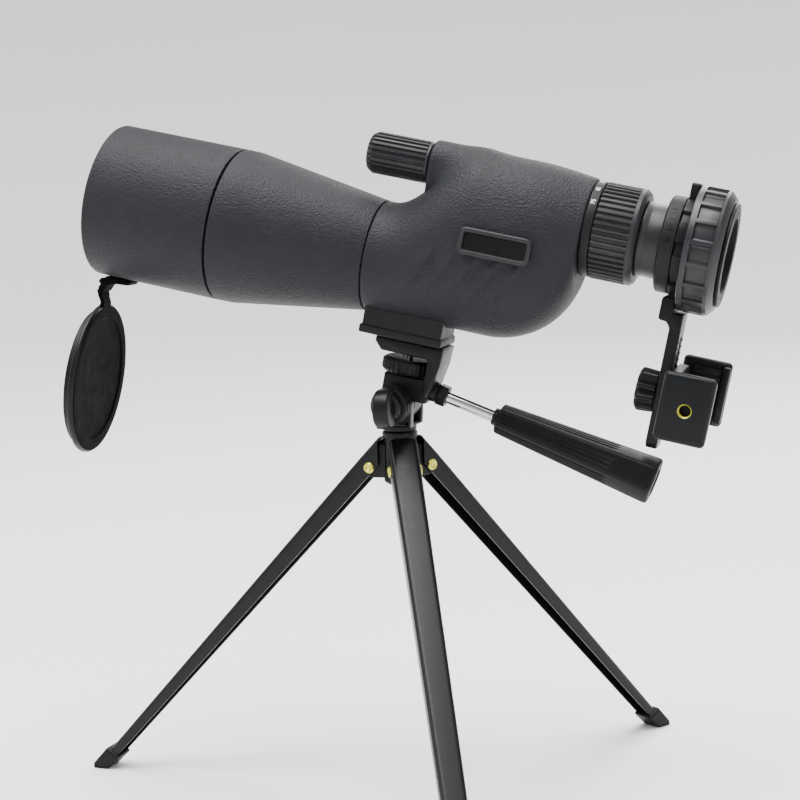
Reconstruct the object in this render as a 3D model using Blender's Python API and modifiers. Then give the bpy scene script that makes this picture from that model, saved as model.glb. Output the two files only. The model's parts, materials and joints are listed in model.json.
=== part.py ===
"""Spotting scope on a table tripod, with a flip-down lens cap and a phone adapter on its eyepiece.

World frame: metres, +Z up. The scope points to -X and the eyepiece to +X; -Y is the side with the badge.
The helpers below take millimetres. Every piece of the scope is placed in the scope's own frame:
X runs back along the barrel from the front rim, Z is the height above the objective's axis.
"""
import math

import bmesh
import bpy

MM = 0.001
GAP = 0.3                       # space left between two pieces that touch

# ---- the stand: pan axis on X = Y = 0 before the whole model is centred on its base ----
BASE_CENTRE_X = -7.84           # middle of the model's footprint, from the pan axis
BASE_CENTRE_Y = -8.43
LEG_AZIMUTHS = {"front": -65.6, "right": 54.4, "left": 174.4}
LEG_PIVOT_R = 14.2
LEG_PIVOT_Z = 171.4
FOOT_R = 178.6                  # pan axis to the middle of a foot's sole
HUB_R = 8.8
HUB_LOW = 163.0
HUB_TOP = 189.5
TONGUE_WIDTH = 11.4
CHANNEL_HALF = 7.2              # half the width of a leg's channel at the hub
CHANNEL_HALF_LOW = 5.6
CHANNEL_WEB = 7.0               # pivot line to the channel's outer face
CHANNEL_WEB_LOW = 3.4
CHANNEL_LIP = -2.7              # pivot line to the channel's open edge
CHANNEL_LIP_LOW = -2.0
SHEET = 1.2
RIVET_R = 1.5
RIVET_HOLE_R = 1.8
SPLAY = math.atan2(FOOT_R - LEG_PIVOT_R, LEG_PIVOT_Z)
LEG_LENGTH = 223.2              # pivot to the channel's lower end, just above the foot
LEG_HEAD = 24.0                 # the channel reaches this far up past its pivot

# ---- the pan and tilt head ----
TILT_AXIS_X = 0.7
TILT_AXIS_Z = 204.0
EAR_R = 9.3
BARREL_HALF = 6.7               # half the width of the tilting barrel between the ears
NECK_R = 8.4
EAR_NEAR = 13.0                 # the near ear is this far out, and its drum and the knob stand on it
DRUM_END = 21.0
TILT_BOLT_R = 1.9
HANDLE_ANGLE = -9.3             # the handle dips this far below the platform
HANDLE_S = 184.6                # where the rod leaves its socket, in the scope's frame
HANDLE_U = -60.2

# ---- the scope, in its own frame ----
NOSE_UP = 12.28
PIVOT_S = 166.5                 # where the tilt axis lies in the scope's frame
PIVOT_U = -68.4
SCREW_S = 166.5
BARREL_R = 38.2
SHADE_INNER_R = 35.8
SLEEVE_R = 35.2
SHADE_BACK = 65.2
SHOULDER = 66.2
CONE_START = 71.0
BODY_START = 142.5
BODY_FRONT_R = 27.2
BODY_WALL = 2.2
BODY_RISE_FROM = 146.0
BODY_RISE_TO = 190.0
BODY_TOP = 59.8
BODY_FALL_FROM = 214.0
BODY_END = 242.4
BODY_END_TOP = 56.0
BODY_MAX_HALF = 31.0
TAIL_CENTRE_S = 203.0           # the rounded tail under the eyepiece is part of an ellipse
TAIL_CENTRE_U = 11.0
TAIL_LENGTH = 40.5
FOCUS_U = 49.1
TURRET_R = 10.7
KNOB_R = 10.2
KNOB_FRONT = 130.0
KNOB_BACK = 161.6
EYE_U = 33.5                    # the eyepiece's axis stands this far above the objective's
ZOOM_R = 23.0
ZOOM_BACK = 268.0
TUBE_R = 14.5
SHELL_R = 17.4

# ---- the lens cap ----
CAP_R = 38.9
CAP_HINGE_S = 0.15
CAP_HINGE_U = -46.4
CAP_FACE_S = 0.6
CAP_PLATE = 3.2
CAP_PLUG = 3.6
CAP_PLUG_R = 35.2
CAP_TWIST = 5.6                 # the hanging cap is turned this far, half by its strap's skewed bend
CAP_SWING = 3.1                 # and hangs this far forward of the hood's face

# ---- the phone adapter ----
COLLAR_R = 22.9
COLLAR_BORE_R = 17.8
SLEEVE_OUT_R = 20.3
NUT_R = 29.8
NUT_FRONT = 290.6
NUT_BACK = 307.4
ARM_FRONT = 289.6
ARM_BACK = 295.2
ARM_HALF = 8.5
ARM_LOW = -62.0
SLOT_HALF = 2.6
CLAMP_FRONT = 295.6
CLAMP_BACK = 319.5
CLAMP_TOP = -19.0
CLAMP_LOW = -51.0
LOCK_U = -36.0
NEAR_FACE = -36.0               # the fixed jaw's inner face
JAW_FACE = 26.0                 # the sliding jaw's inner face, closed
JAW_WALL = 5.0
LIP_S = 315.5
LIP_REACH = 4.0

ALONG = (0, 90, 0)              # a turned piece's height runs back along the barrel
ACROSS = (90, 0, 0)             # a flat outline stands upright and its thickness runs along Y


def clear_scene():
    for obj in list(bpy.data.objects):
        bpy.data.objects.remove(obj, do_unlink=True)


def new_collection(name):
    group = bpy.data.collections.new(name)
    bpy.context.scene.collection.children.link(group)
    return group


clear_scene()
PARTS = new_collection("spotting_scope")
CUTTERS = new_collection("cutters")


def material(name, color, roughness, metallic=0.0, alpha=1.0):
    paint = bpy.data.materials.new(name)
    paint.use_nodes = True
    shader = paint.node_tree.nodes["Principled BSDF"]
    shader.inputs["Base Color"].default_value = (*color, 1.0)
    shader.inputs["Roughness"].default_value = roughness
    shader.inputs["Metallic"].default_value = metallic
    shader.inputs["Alpha"].default_value = alpha
    return paint


ARMOUR = material("armour", (0.055, 0.062, 0.075), 0.75)
BLACK_PLASTIC = material("black_plastic", (0.03, 0.03, 0.033), 0.5)
RUBBER = material("rubber", (0.02, 0.02, 0.022), 0.8)
BLACK_METAL = material("black_metal", (0.05, 0.05, 0.055), 0.4, 0.7)
LEG_METAL = material("leg_metal", (0.07, 0.08, 0.09), 0.35, 0.9)
CHROME = material("chrome", (0.8, 0.8, 0.82), 0.12, 1.0)
BRASS = material("brass", (0.75, 0.62, 0.2), 0.3, 1.0)
GLASS = material("glass", (0.75, 0.85, 0.9), 0.02, 0.0, 0.35)


# ---- placing and shaping helpers ----

def empty(name, parent=None, at=(0, 0, 0), turn=(0, 0, 0)):
    obj = bpy.data.objects.new(name, None)
    PARTS.objects.link(obj)
    obj.parent = parent
    obj.location = [v * MM for v in at]
    obj.rotation_euler = [math.radians(a) for a in turn]
    return obj


def place(name, mesh, paint, parent, at, turn):
    """Put a mesh in the scene: a node when it has a paint, and a cutter when it has none."""
    obj = bpy.data.objects.new(name, mesh)
    group = PARTS if paint else CUTTERS
    group.objects.link(obj)
    obj.parent = parent
    obj.location = [v * MM for v in at]
    obj.rotation_euler = [math.radians(a) for a in turn]
    if paint:
        mesh.materials.append(paint)
    else:
        obj.hide_render = True
        obj.display_type = "WIRE"
    return obj


def turned(name, outline, paint, parent, at=(0, 0, 0), turn=ALONG, steps=40):
    """Turn (radius, height) points about local Z. The outline runs down the outside from the top,
    and closes on itself unless it starts and ends on the axis."""
    mesh = bpy.data.meshes.new(name)
    points = [(r * MM, 0.0, h * MM) for r, h in outline]
    edges = [(i, i + 1) for i in range(len(points) - 1)]
    if outline[0][0] > 0:
        edges.append((len(points) - 1, 0))
    mesh.from_pydata(points, edges, [])
    obj = place(name, mesh, paint, parent, at, turn)
    screw = obj.modifiers.new("Screw", "SCREW")
    screw.axis = "Z"
    screw.angle = math.tau
    screw.steps = steps
    screw.render_steps = steps
    screw.use_merge_vertices = True
    screw.merge_threshold = 0.00001
    screw.use_smooth_shade = True
    return obj


def rod(name, radius, low, high, paint, parent, at=(0, 0, 0), turn=ALONG, steps=24):
    outline = [(0, high), (radius, high), (radius, low), (0, low)]
    return turned(name, outline, paint, parent, at, turn, steps)


def ring(name, outer, inner, low, high, paint, parent, at=(0, 0, 0), turn=ALONG, steps=40, soft=0.0):
    outline = [(outer - soft, high), (outer, high - soft), (outer, low + soft), (outer - soft, low),
               (inner, low), (inner, high)]
    if soft == 0.0:
        outline = [(outer, high), (outer, low), (inner, low), (inner, high)]
    return turned(name, outline, paint, parent, at, turn, steps)


def bevel(obj, width, segments=2):
    soften = obj.modifiers.new("Bevel", "BEVEL")
    soften.width = width * MM
    soften.segments = segments
    soften.limit_method = "ANGLE"
    soften.angle_limit = math.radians(40)
    return obj


def block(name, low, high, paint, parent, at=(0, 0, 0), turn=(0, 0, 0), round_edges=0.0):
    """A box between two corners, with its edges rounded when asked."""
    mesh = bpy.data.meshes.new(name)
    bm = bmesh.new()
    bmesh.ops.create_cube(bm, size=1.0)
    for vert in bm.verts:
        for axis in range(3):
            middle = (low[axis] + high[axis]) / 2
            vert.co[axis] = (middle + vert.co[axis] * (high[axis] - low[axis])) * MM
    bm.to_mesh(mesh)
    bm.free()
    obj = place(name, mesh, paint, parent, at, turn)
    if round_edges:
        bevel(obj, round_edges)
    return obj


def plate(name, loops, thickness, paint, parent, at=(0, 0, 0), turn=ACROSS, round_edges=0.0):
    """A flat outline, with any holes as further loops, given a thickness centred on local Z = 0."""
    curve = bpy.data.curves.new(name, "CURVE")
    curve.dimensions = "2D"
    curve.fill_mode = "BOTH"
    curve.extrude = thickness / 2 * MM
    for loop in loops:
        spline = curve.splines.new("POLY")
        spline.points.add(len(loop) - 1)
        for point, (x, y) in zip(spline.points, loop):
            point.co = (x * MM, y * MM, 0.0, 1.0)
        spline.use_cyclic_u = True
    flat = bpy.data.objects.new(name + "_outline", curve)
    PARTS.objects.link(flat)
    bpy.context.view_layer.update()
    mesh = bpy.data.meshes.new_from_object(flat.evaluated_get(bpy.context.evaluated_depsgraph_get()))
    bpy.data.objects.remove(flat, do_unlink=True)
    bm = bmesh.new()
    bm.from_mesh(mesh)
    bmesh.ops.remove_doubles(bm, verts=bm.verts, dist=0.000001)
    bmesh.ops.recalc_face_normals(bm, faces=bm.faces)
    bm.to_mesh(mesh)
    bm.free()
    mesh.name = name
    obj = place(name, mesh, paint, parent, at, turn)
    if round_edges:
        bevel(obj, round_edges, 1)
    return obj


def loft(name, sections, paint, parent, at=(0, 0, 0), turn=(0, 0, 0), closed=True):
    """Skin a row of like-numbered sections. Closed sections are capped; open ones stay a sheet."""
    bm = bmesh.new()
    rows = [[bm.verts.new([v * MM for v in point]) for point in section] for section in sections]
    count = len(rows[0])
    last = count if closed else count - 1
    for row, following in zip(rows, rows[1:]):
        for i in range(last):
            j = (i + 1) % count
            bm.faces.new((row[i], row[j], following[j], following[i]))
    if closed:
        bm.faces.new(reversed(rows[0]))
        bm.faces.new(rows[-1])
    bmesh.ops.recalc_face_normals(bm, faces=bm.faces)
    mesh = bpy.data.meshes.new(name)
    bm.to_mesh(mesh)
    bm.free()
    mesh.shade_smooth()
    return place(name, mesh, paint, parent, at, turn)


def boolean(obj, operation, other):
    tool = obj.modifiers.new(other.name, "BOOLEAN")
    tool.operation = operation
    tool.solver = "EXACT"
    tool.object = other
    return obj


def cut(obj, *cutters):
    for cutter in cutters:
        boolean(obj, "DIFFERENCE", cutter)
    return obj


def join(obj, *others):
    for other in others:
        boolean(obj, "UNION", other)
    return obj


def circle(radius, count, centre=(0.0, 0.0), start=0.0, sweep=360.0):
    """Points on a circle, or on an arc with both ends when the sweep is less than a turn."""
    whole = abs(sweep) >= 360.0
    parts = count if whole else count - 1
    angles = [math.radians(start + sweep * i / parts) for i in range(count)]
    return [(centre[0] + radius * math.cos(a), centre[1] + radius * math.sin(a)) for a in angles]


def cogged(low, high, count, share, slope=0.1):
    """A ring of flat-topped ribs: share is the part of each pitch that a rib's top takes."""
    points = []
    pitch = math.tau / count
    for i in range(count):
        middle = i * pitch
        for radius, offset in ((low, -share / 2 - slope), (high, -share / 2),
                               (high, share / 2), (low, share / 2 + slope)):
            angle = middle + offset * pitch
            points.append((radius * math.cos(angle), radius * math.sin(angle)))
    return points


def ease(t):
    t = min(max(t, 0.0), 1.0)
    return (1.0 - math.cos(math.pi * t)) / 2.0


# ---- frames ----

ROOT = empty("root_frame", at=(-BASE_CENTRE_X, -BASE_CENTRE_Y, 0))
TILT = empty("tilt_axis", ROOT, at=(TILT_AXIS_X, 0, TILT_AXIS_Z), turn=(0, NOSE_UP, 0))
SCOPE = empty("scope_frame", TILT, at=(-PIVOT_S, 0, -PIVOT_U))
HANDLE = empty("handle_axis", SCOPE, at=(HANDLE_S, 0, HANDLE_U), turn=(0, -HANDLE_ANGLE, 0))
CAP_AXIS = empty("cap_hinge", SCOPE, at=(CAP_HINGE_S, 0, CAP_HINGE_U), turn=(0, 0, CAP_TWIST / 2))
CAP_LEAN = empty("cap_lean", CAP_AXIS, turn=(0, -CAP_SWING, 0))
CAP_HANG = empty("cap_hang", CAP_LEAN, turn=(0, 0, CAP_TWIST / 2))


# ---- tripod ----

def channel_section(along):
    """The leg's U section at a distance down the leg from its pivot, in (radius, side, height)."""
    t = max(along, 0.0) / LEG_LENGTH
    half = CHANNEL_HALF + (CHANNEL_HALF_LOW - CHANNEL_HALF) * t
    web = CHANNEL_WEB + (CHANNEL_WEB_LOW - CHANNEL_WEB) * t
    lip = CHANNEL_LIP + (CHANNEL_LIP_LOW - CHANNEL_LIP) * t
    corner = 2.0
    across = [(-half, lip)]
    across += circle(corner, 4, (-half + corner, web - corner), 180, -90)
    across += circle(corner, 4, (half - corner, web - corner), 90, -90)
    across += [(half, lip)]
    down = (math.sin(SPLAY), -math.cos(SPLAY))
    out = (math.cos(SPLAY), math.sin(SPLAY))
    return [(down[0] * along + out[0] * n, side, down[1] * along + out[1] * n) for side, n in across]


def build_leg(side, azimuth):
    """One sheet-metal leg with its rivet and rubber foot, all on an empty at the leg's pivot."""
    angle = math.radians(azimuth)
    spot = (LEG_PIVOT_R * math.cos(angle), LEG_PIVOT_R * math.sin(angle), LEG_PIVOT_Z)
    pivot = empty("leg_pivot_" + side, ROOT, at=spot, turn=(0, 0, azimuth))
    sections = [channel_section(along) for along in (-LEG_HEAD, 0.0, LEG_LENGTH)]
    leg = loft("leg_" + side, sections, LEG_METAL, pivot, closed=False)
    sheet = leg.modifiers.new("Solidify", "SOLIDIFY")
    sheet.thickness = SHEET * MM
    sheet.offset = -1.0
    trim_face = HUB_R + 0.6 - LEG_PIVOT_R
    trim = block("leg_trim_" + side, (-30, -12, -20), (trim_face, 12, 40), None, pivot)
    hole = rod("leg_hole_" + side, RIVET_HOLE_R, -12, 12, None, pivot, turn=ACROSS, steps=16)
    cut(leg, trim, hole)
    head_in = CHANNEL_HALF + GAP
    head_out = head_in + 0.8
    outline = [(0, head_out), (2.0, head_out), (2.8, head_in), (RIVET_R, head_in),
               (RIVET_R, -head_in), (2.8, -head_in), (2.0, -head_out), (0, -head_out)]
    turned("rivet_" + side, outline, BRASS, pivot, turn=ACROSS, steps=16)
    sole = -LEG_PIVOT_Z
    shape = [(160.0, sole + 12.0), (168.8, sole + 2.6), (168.8, sole), (160.3, sole), (152.2, sole + 7.7)]
    plate("foot_" + side, [shape], 13.4, RUBBER, pivot, round_edges=0.8)


def build_hub():
    """The black hub: a round core with a tongue for each leg's channel."""
    outline = [(0, HUB_TOP), (HUB_R - 0.8, HUB_TOP), (HUB_R, HUB_TOP - 0.8), (HUB_R, HUB_LOW + 1.5),
               (HUB_R - 1.5, HUB_LOW), (0, HUB_LOW)]
    hub = turned("hub", outline, BLACK_PLASTIC, ROOT, turn=(0, 0, 0), steps=32)
    tip_r = 5.2
    tongue = [(2.0, -tip_r + LEG_PIVOT_Z), (LEG_PIVOT_R, -tip_r + LEG_PIVOT_Z)]
    tongue += circle(tip_r, 7, (LEG_PIVOT_R, LEG_PIVOT_Z), -70, 116)
    tongue += [(10.2, LEG_PIVOT_Z + 11.0), (2.0, LEG_PIVOT_Z + 11.0)]
    for side, azimuth in LEG_AZIMUTHS.items():
        fin = plate("tongue_" + side, [tongue], TONGUE_WIDTH, None, ROOT, turn=(90, 0, azimuth))
        angle = math.radians(azimuth)
        spot = (LEG_PIVOT_R * math.cos(angle), LEG_PIVOT_R * math.sin(angle), LEG_PIVOT_Z)
        hole = rod("tongue_hole_" + side, RIVET_HOLE_R, -9, 9, None, ROOT, spot, (90, 0, azimuth), 16)
        join(hub, fin)
        cut(hub, hole)


# ---- pan and tilt head ----

def build_yoke():
    """The neck that turns on the hub and carries the tilt axis between its two ears."""
    low = HUB_TOP + GAP
    neck_top = low + 2.6
    axis = (TILT_AXIS_X, 0, TILT_AXIS_Z)
    yoke = rod("pan_yoke", NECK_R, low, neck_top, BLACK_PLASTIC, ROOT, turn=(0, 0, 0), steps=32)
    near, middle, far = -EAR_NEAR, BARREL_HALF + GAP, 11.0
    base = block("yoke_base", (-NECK_R, near, neck_top - 0.6), (NECK_R, far, neck_top + 1.8), None, ROOT)
    near_ear = plate("yoke_near_ear", [ear_outline(neck_top)], -near - middle, None, ROOT,
                     at=(0, (near - middle) / 2, 0))
    far_ear = plate("yoke_far_ear", [ear_outline(neck_top)], far - middle, None, ROOT,
                    at=(0, (far + middle) / 2, 0))
    drum = rod("yoke_drum", EAR_R - 0.15, EAR_NEAR - 0.5, DRUM_END, None, ROOT, axis, ACROSS, 30)
    bore = rod("yoke_bore", TILT_BOLT_R + GAP, -8, 30, None, ROOT, axis, ACROSS)
    cut(join(yoke, base, near_ear, far_ear, drum), bore)


def ear_outline(low):
    """An upright ear that is round about the tilt axis."""
    top = circle(EAR_R, 13, (TILT_AXIS_X, TILT_AXIS_Z), 0, 180)
    inset = EAR_R - 0.6
    return [(TILT_AXIS_X - inset, low), (TILT_AXIS_X + inset, low)] + top


def build_tilt_bracket():
    """The C-shaped bracket under the platform, with the barrel that tilts between the ears."""
    hook = [(151.5, -36.9), (186.0, -36.9), (185.4, -46.0), (183.4, -57.0), (181.5, -61.5),
            (178.9, -61.5), (178.9, -43.6), (155.0, -43.6), (151.2, -39.4)]
    bracket = plate("tilt_bracket", [hook], 22.0, BLACK_PLASTIC, SCOPE, round_edges=0.7)
    barrel = rod("tilt_barrel", EAR_R, -BARREL_HALF, BARREL_HALF, None, TILT, turn=ACROSS, steps=32)
    web = block("tilt_web", (157.5, 0.1 - BARREL_HALF, -66.0), (181.0, BARREL_HALF - 0.1, -54.2), None, SCOPE)
    socket = rod("handle_socket", 5.0, -5, 0, None, HANDLE, steps=24)
    join(bracket, barrel, web, socket)
    stud = rod("bracket_stud_hole", 3.4, -45, -35, None, SCOPE, (SCREW_S, 0, 0), (0, 0, 0))
    bore = rod("barrel_bore", TILT_BOLT_R + GAP, -8, 10, None, TILT, turn=ACROSS)
    rod_bore = rod("handle_bore", 3.3, -12, 10, None, HANDLE)
    cut(bracket, stud, bore, rod_bore)


def build_screw_wheel():
    """The ribbed wheel held in the bracket, with the camera screw standing on it."""
    low, high = -53.6, -46.2
    wheel = plate("screw_wheel", [cogged(11.3, 12.1, 24, 0.45)], high - low, BLACK_METAL, SCOPE,
                  at=(SCREW_S, 0, (low + high) / 2), turn=(0, 0, 0))
    stud = rod("camera_stud", 3.0, low + 2, -29.5, None, SCOPE, (SCREW_S, 0, 0), (0, 0, 0), 20)
    join(wheel, stud)


def build_tilt_knob():
    """The round locking knob with a finger bar, and its bolt through the ear and barrel."""
    base = DRUM_END + 0.4
    outline = [(0, base + 4.6), (6.0, base + 4.6), (7.0, base + 3.4), (7.0, base + 0.8), (6.4, base),
               (TILT_BOLT_R, base), (TILT_BOLT_R, -6.0), (0, -6.0)]
    knob = turned("tilt_knob", outline, BLACK_PLASTIC, TILT, turn=ACROSS, steps=28)
    half_height, bulge = 9.2, 9.0
    shape = [(half_height, -base - 0.2)]
    shape += half_oval(half_height, bulge, -DRUM_END - 6.0)
    shape += [(-half_height, -base - 0.2)]
    bar = plate("tilt_knob_bar", [shape], 7.8, None, TILT, turn=(0, 90 - NOSE_UP, 0), round_edges=1.2)
    join(knob, bar)


def half_oval(half_width, bulge, start, count=15):
    """The rounded end of an outline, from +X round through -Y to -X."""
    angles = [math.pi * i / (count - 1) for i in range(count)]
    return [(half_width * math.cos(a), start - bulge * math.sin(a)) for a in angles]


def build_handle():
    """The chrome rod with its hexagonal collar, and the fluted grip."""
    reach = 32.0                # collar to grip
    inside = 18.0
    outline = [(0, reach + inside), (3.1, reach + inside), (3.1, -11.5), (0, -11.5)]
    bar = turned("handle_rod", outline, CHROME, HANDLE, steps=24)
    collar = rod("handle_collar", 5.6, GAP, 5.3, None, HANDLE, steps=6)
    join(bar, collar)
    start, end = reach + 0.3, reach + 82.0
    small, large = 5.6, 11.4
    outline = [(0, end), (large - 2.5, end), (large, end - 2.5), (small, start + 2.0), (small - 1.2, start),
               (3.4, start), (3.4, start + inside + 1.0), (0, start + inside + 1.0)]
    grip = turned("handle_grip", outline, RUBBER, HANDLE, steps=24)
    slope = math.degrees(math.atan2(large - small, end - start))
    for i in range(6):
        turn = empty("flute_turn_%d" % i, HANDLE, turn=(60 * i + 30, 0, 0))
        flute = rod("flute_%d" % i, 1.5, start - 2, end - 22, None, turn, (0, 0, small + 0.55),
                    (0, 90 - slope, 0), 10)
        cut(grip, flute)


# ---- scope ----

def build_sunshade():
    """The sliding hood at the front of the barrel."""
    back, inner = SHADE_BACK, SHADE_INNER_R
    outline = [(BARREL_R - 0.6, back), (BARREL_R, back - 0.6), (BARREL_R, 1.2), (BARREL_R - 1.0, 0),
               (inner + 0.5, 0), (inner, 0.8), (inner, back)]
    turned("sunshade", outline, ARMOUR, SCOPE, steps=48)


def build_front_tube():
    """The objective tube: a bare sleeve under the hood, then the armoured cone."""
    back = BODY_START - GAP
    wall = 2.4
    outline = [(BODY_FRONT_R + 0.2, back), (BARREL_R, CONE_START), (BARREL_R, SHOULDER + 0.6),
               (BARREL_R - 0.6, SHOULDER), (SLEEVE_R, SHOULDER), (SLEEVE_R, 14.0), (32.6, 14.0),
               (32.6, 36.3), (30.0, 36.3), (30.0, 60.0), (BODY_FRONT_R + 0.2 - wall, back)]
    turned("front_tube", outline, ARMOUR, SCOPE, steps=48)


def build_objective():
    """The doublet: a thick biconvex crown, a thin flint behind it and the ring that holds them."""
    r = 32.2
    crown = [(0, 31.2), (r * 0.6, 29.9), (r, 27.6), (r, 26.4), (r * 0.6, 23.6), (0, 22.4)]
    turned("objective_crown", crown, GLASS, SCOPE, steps=32)
    flint = [(0, 35.4), (r * 0.6, 35.6), (r, 36.0), (r, 28.0), (r * 0.6, 30.4), (0, 31.6)]
    turned("objective_flint", flint, GLASS, SCOPE, steps=32)
    ring("objective_ring", 32.3, 29.6, 20.0, 23.4, BLACK_METAL, SCOPE, steps=32)


def body_top(s):
    rise = BODY_FRONT_R + (BODY_TOP - BODY_FRONT_R) * ease((s - BODY_RISE_FROM) / (BODY_RISE_TO - BODY_RISE_FROM))
    fall = max(s - BODY_FALL_FROM, 0.0) / (BODY_END - BODY_FALL_FROM)
    return rise - (BODY_TOP - BODY_END_TOP) * fall ** 1.6


def body_bottom(s):
    t = min(max(s - TAIL_CENTRE_S, 0.0) / TAIL_LENGTH, 1.0)
    return TAIL_CENTRE_U - (TAIL_CENTRE_U + BODY_FRONT_R) * math.sqrt(1.0 - t * t)


def body_half(s):
    grown = BODY_FRONT_R + (BODY_MAX_HALF - BODY_FRONT_R) * ease((s - BODY_RISE_FROM) / 50.0)
    return grown - 7.0 * (max(s - 210.0, 0.0) / 32.4) ** 2


def body_sections(stations, grow, count=30):
    """Upright oval sections of the prism housing, drawn in or out by grow."""
    sections = []
    for s in stations:
        top, bottom, half = body_top(s) + grow, body_bottom(s) - grow, body_half(s) + grow
        middle, tall = (top + bottom) / 2, (top - bottom) / 2
        sections.append([(s, half * math.cos(a), middle + tall * math.sin(a))
                         for a in (math.tau * i / count for i in range(count))])
    return sections


def body_stations(start, end):
    """Stations along the housing, closer together where it curves most."""
    curved = [147, 152, 157, 162, 168, 174, 181, 189, 200, 208, 216, 222, 228, 233, 237, 240]
    return [start] + [s for s in curved if start < s < end] + [end]


def build_housing():
    """The prism housing with its focusing turret, hollow and open at both ends."""
    housing = loft("prism_housing", body_sections(body_stations(BODY_START, BODY_END), 0.0), ARMOUR, SCOPE)
    turret = turned("turret", [(0, 200.0), (TURRET_R - 4.0, 198.0), (TURRET_R, 186.0), (TURRET_R, 163.0),
                               (TURRET_R - 0.8, 162.0), (0, 162.0)], None, SCOPE, (0, 0, FOCUS_U), steps=30)
    inner_end = BODY_END - 3.0
    hollow = loft("housing_hollow", body_sections(body_stations(BODY_START - 1.0, inner_end), -BODY_WALL),
                  None, SCOPE)
    turret_hollow = rod("turret_hollow", TURRET_R - 2.2, 165.0, 187.0, None, SCOPE, (0, 0, FOCUS_U), steps=26)
    rod_hole = rod("focus_rod_hole", 2.5, 158, 170, None, SCOPE, (0, 0, FOCUS_U), steps=14)
    eye_hole = rod("eyepiece_hole", TUBE_R + GAP, 234, 246, None, SCOPE, (0, 0, EYE_U), steps=32)
    join(housing, turret)
    cut(housing, hollow, turret_hollow, rod_hole, eye_hole)


def build_focus():
    """The ribbed knob, its lead rod and the focusing lens that the rod moves."""
    middle = (KNOB_FRONT + KNOB_BACK) / 2
    knob = plate("focus_knob", [cogged(KNOB_R - 0.7, KNOB_R, 22, 0.5)], KNOB_BACK - KNOB_FRONT, RUBBER,
                 SCOPE, at=(middle, 0, FOCUS_U), turn=ALONG)
    socket = rod("focus_knob_socket", 2.3, KNOB_BACK - 9, KNOB_BACK + 2, None, SCOPE, (0, 0, FOCUS_U))
    cut(knob, socket)
    rod("focus_rod", 2.0, KNOB_BACK - 8.5, 196.0, CHROME, SCOPE, (0, 0, FOCUS_U), steps=16)
    cell = ring("focus_cell", 22.0, 19.5, 176.0, 183.0, BLACK_METAL, SCOPE, steps=32)
    carrier = block("focus_carrier", (177.0, -4.5, 20.5), (182.0, 4.5, 54.0), None, SCOPE)
    bore = rod("carrier_bore", 2.4, 174, 186, None, SCOPE, (0, 0, FOCUS_U), steps=16)
    cut(join(cell, carrier), bore)
    lens = [(0, 181.6), (19.2, 180.6), (19.2, 178.4), (0, 177.4)]
    turned("focus_lens", lens, GLASS, SCOPE, steps=32)


def build_prisms():
    """Two right-angle prisms that lift the light to the eyepiece's axis, on a plate between them."""
    front, back, reach = 199.0, 227.0, 14.0
    plate("prism_lower", [[(front, -reach), (back, reach), (front, reach)]], 28.0, GLASS, SCOPE)
    high = EYE_U - reach
    plate("prism_upper", [[(front, high), (back, high), (back, high + 28.0)]], 28.0, GLASS, SCOPE)
    plate("prism_plate",
          [[(front - 3, -17), (back + 1, -17), (back + 1, 17), (front - 3, 17)],
           [(front + 3, -11), (back - 3, -11), (back - 3, 11), (front + 3, 11)]],
          high - reach - 2 * GAP, BLACK_METAL, SCOPE, at=(0, 0, (high + reach) / 2), turn=(0, 0, 0))


def build_mount_foot():
    """The block under the housing that stands on the platform, with its threaded bush."""
    low, flange, top = -36.6, -32.2, -18.0
    foot = block("mount_foot", (143.9, -13.4, flange - 1), (184.0, 13.4, top), BLACK_PLASTIC, SCOPE)
    flange_block = block("mount_flange", (142.9, -14.2, low), (184.8, 14.2, flange), None, SCOPE,
                         round_edges=0.6)
    join(foot, flange_block)
    housing_cut = loft("foot_housing_cut", body_sections(body_stations(130.0, 200.0), GAP), None, SCOPE)
    bush_hole = rod("bush_hole", 5.3, -40, -28.4, None, SCOPE, (SCREW_S, 0, 0), (0, 0, 0))
    cut(foot, housing_cut, bush_hole)
    ring("foot_bush", 5.0, 3.3, low, -28.8, BRASS, SCOPE, (SCREW_S, 0, 0), (0, 0, 0), 24)


def build_badge():
    """The blank name badge on the housing's near side."""
    outline = []
    for x, y, start in ((13.5, 3.0, 0), (-13.5, 3.0, 90), (-13.5, -3.0, 180), (13.5, -3.0, 270)):
        outline += circle(2.6, 4, (x, y), start, 90)
    plate("badge", [outline], 1.6, BLACK_PLASTIC, SCOPE, at=(206.0, -32.2, 19.0), round_edges=0.3)


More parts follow.
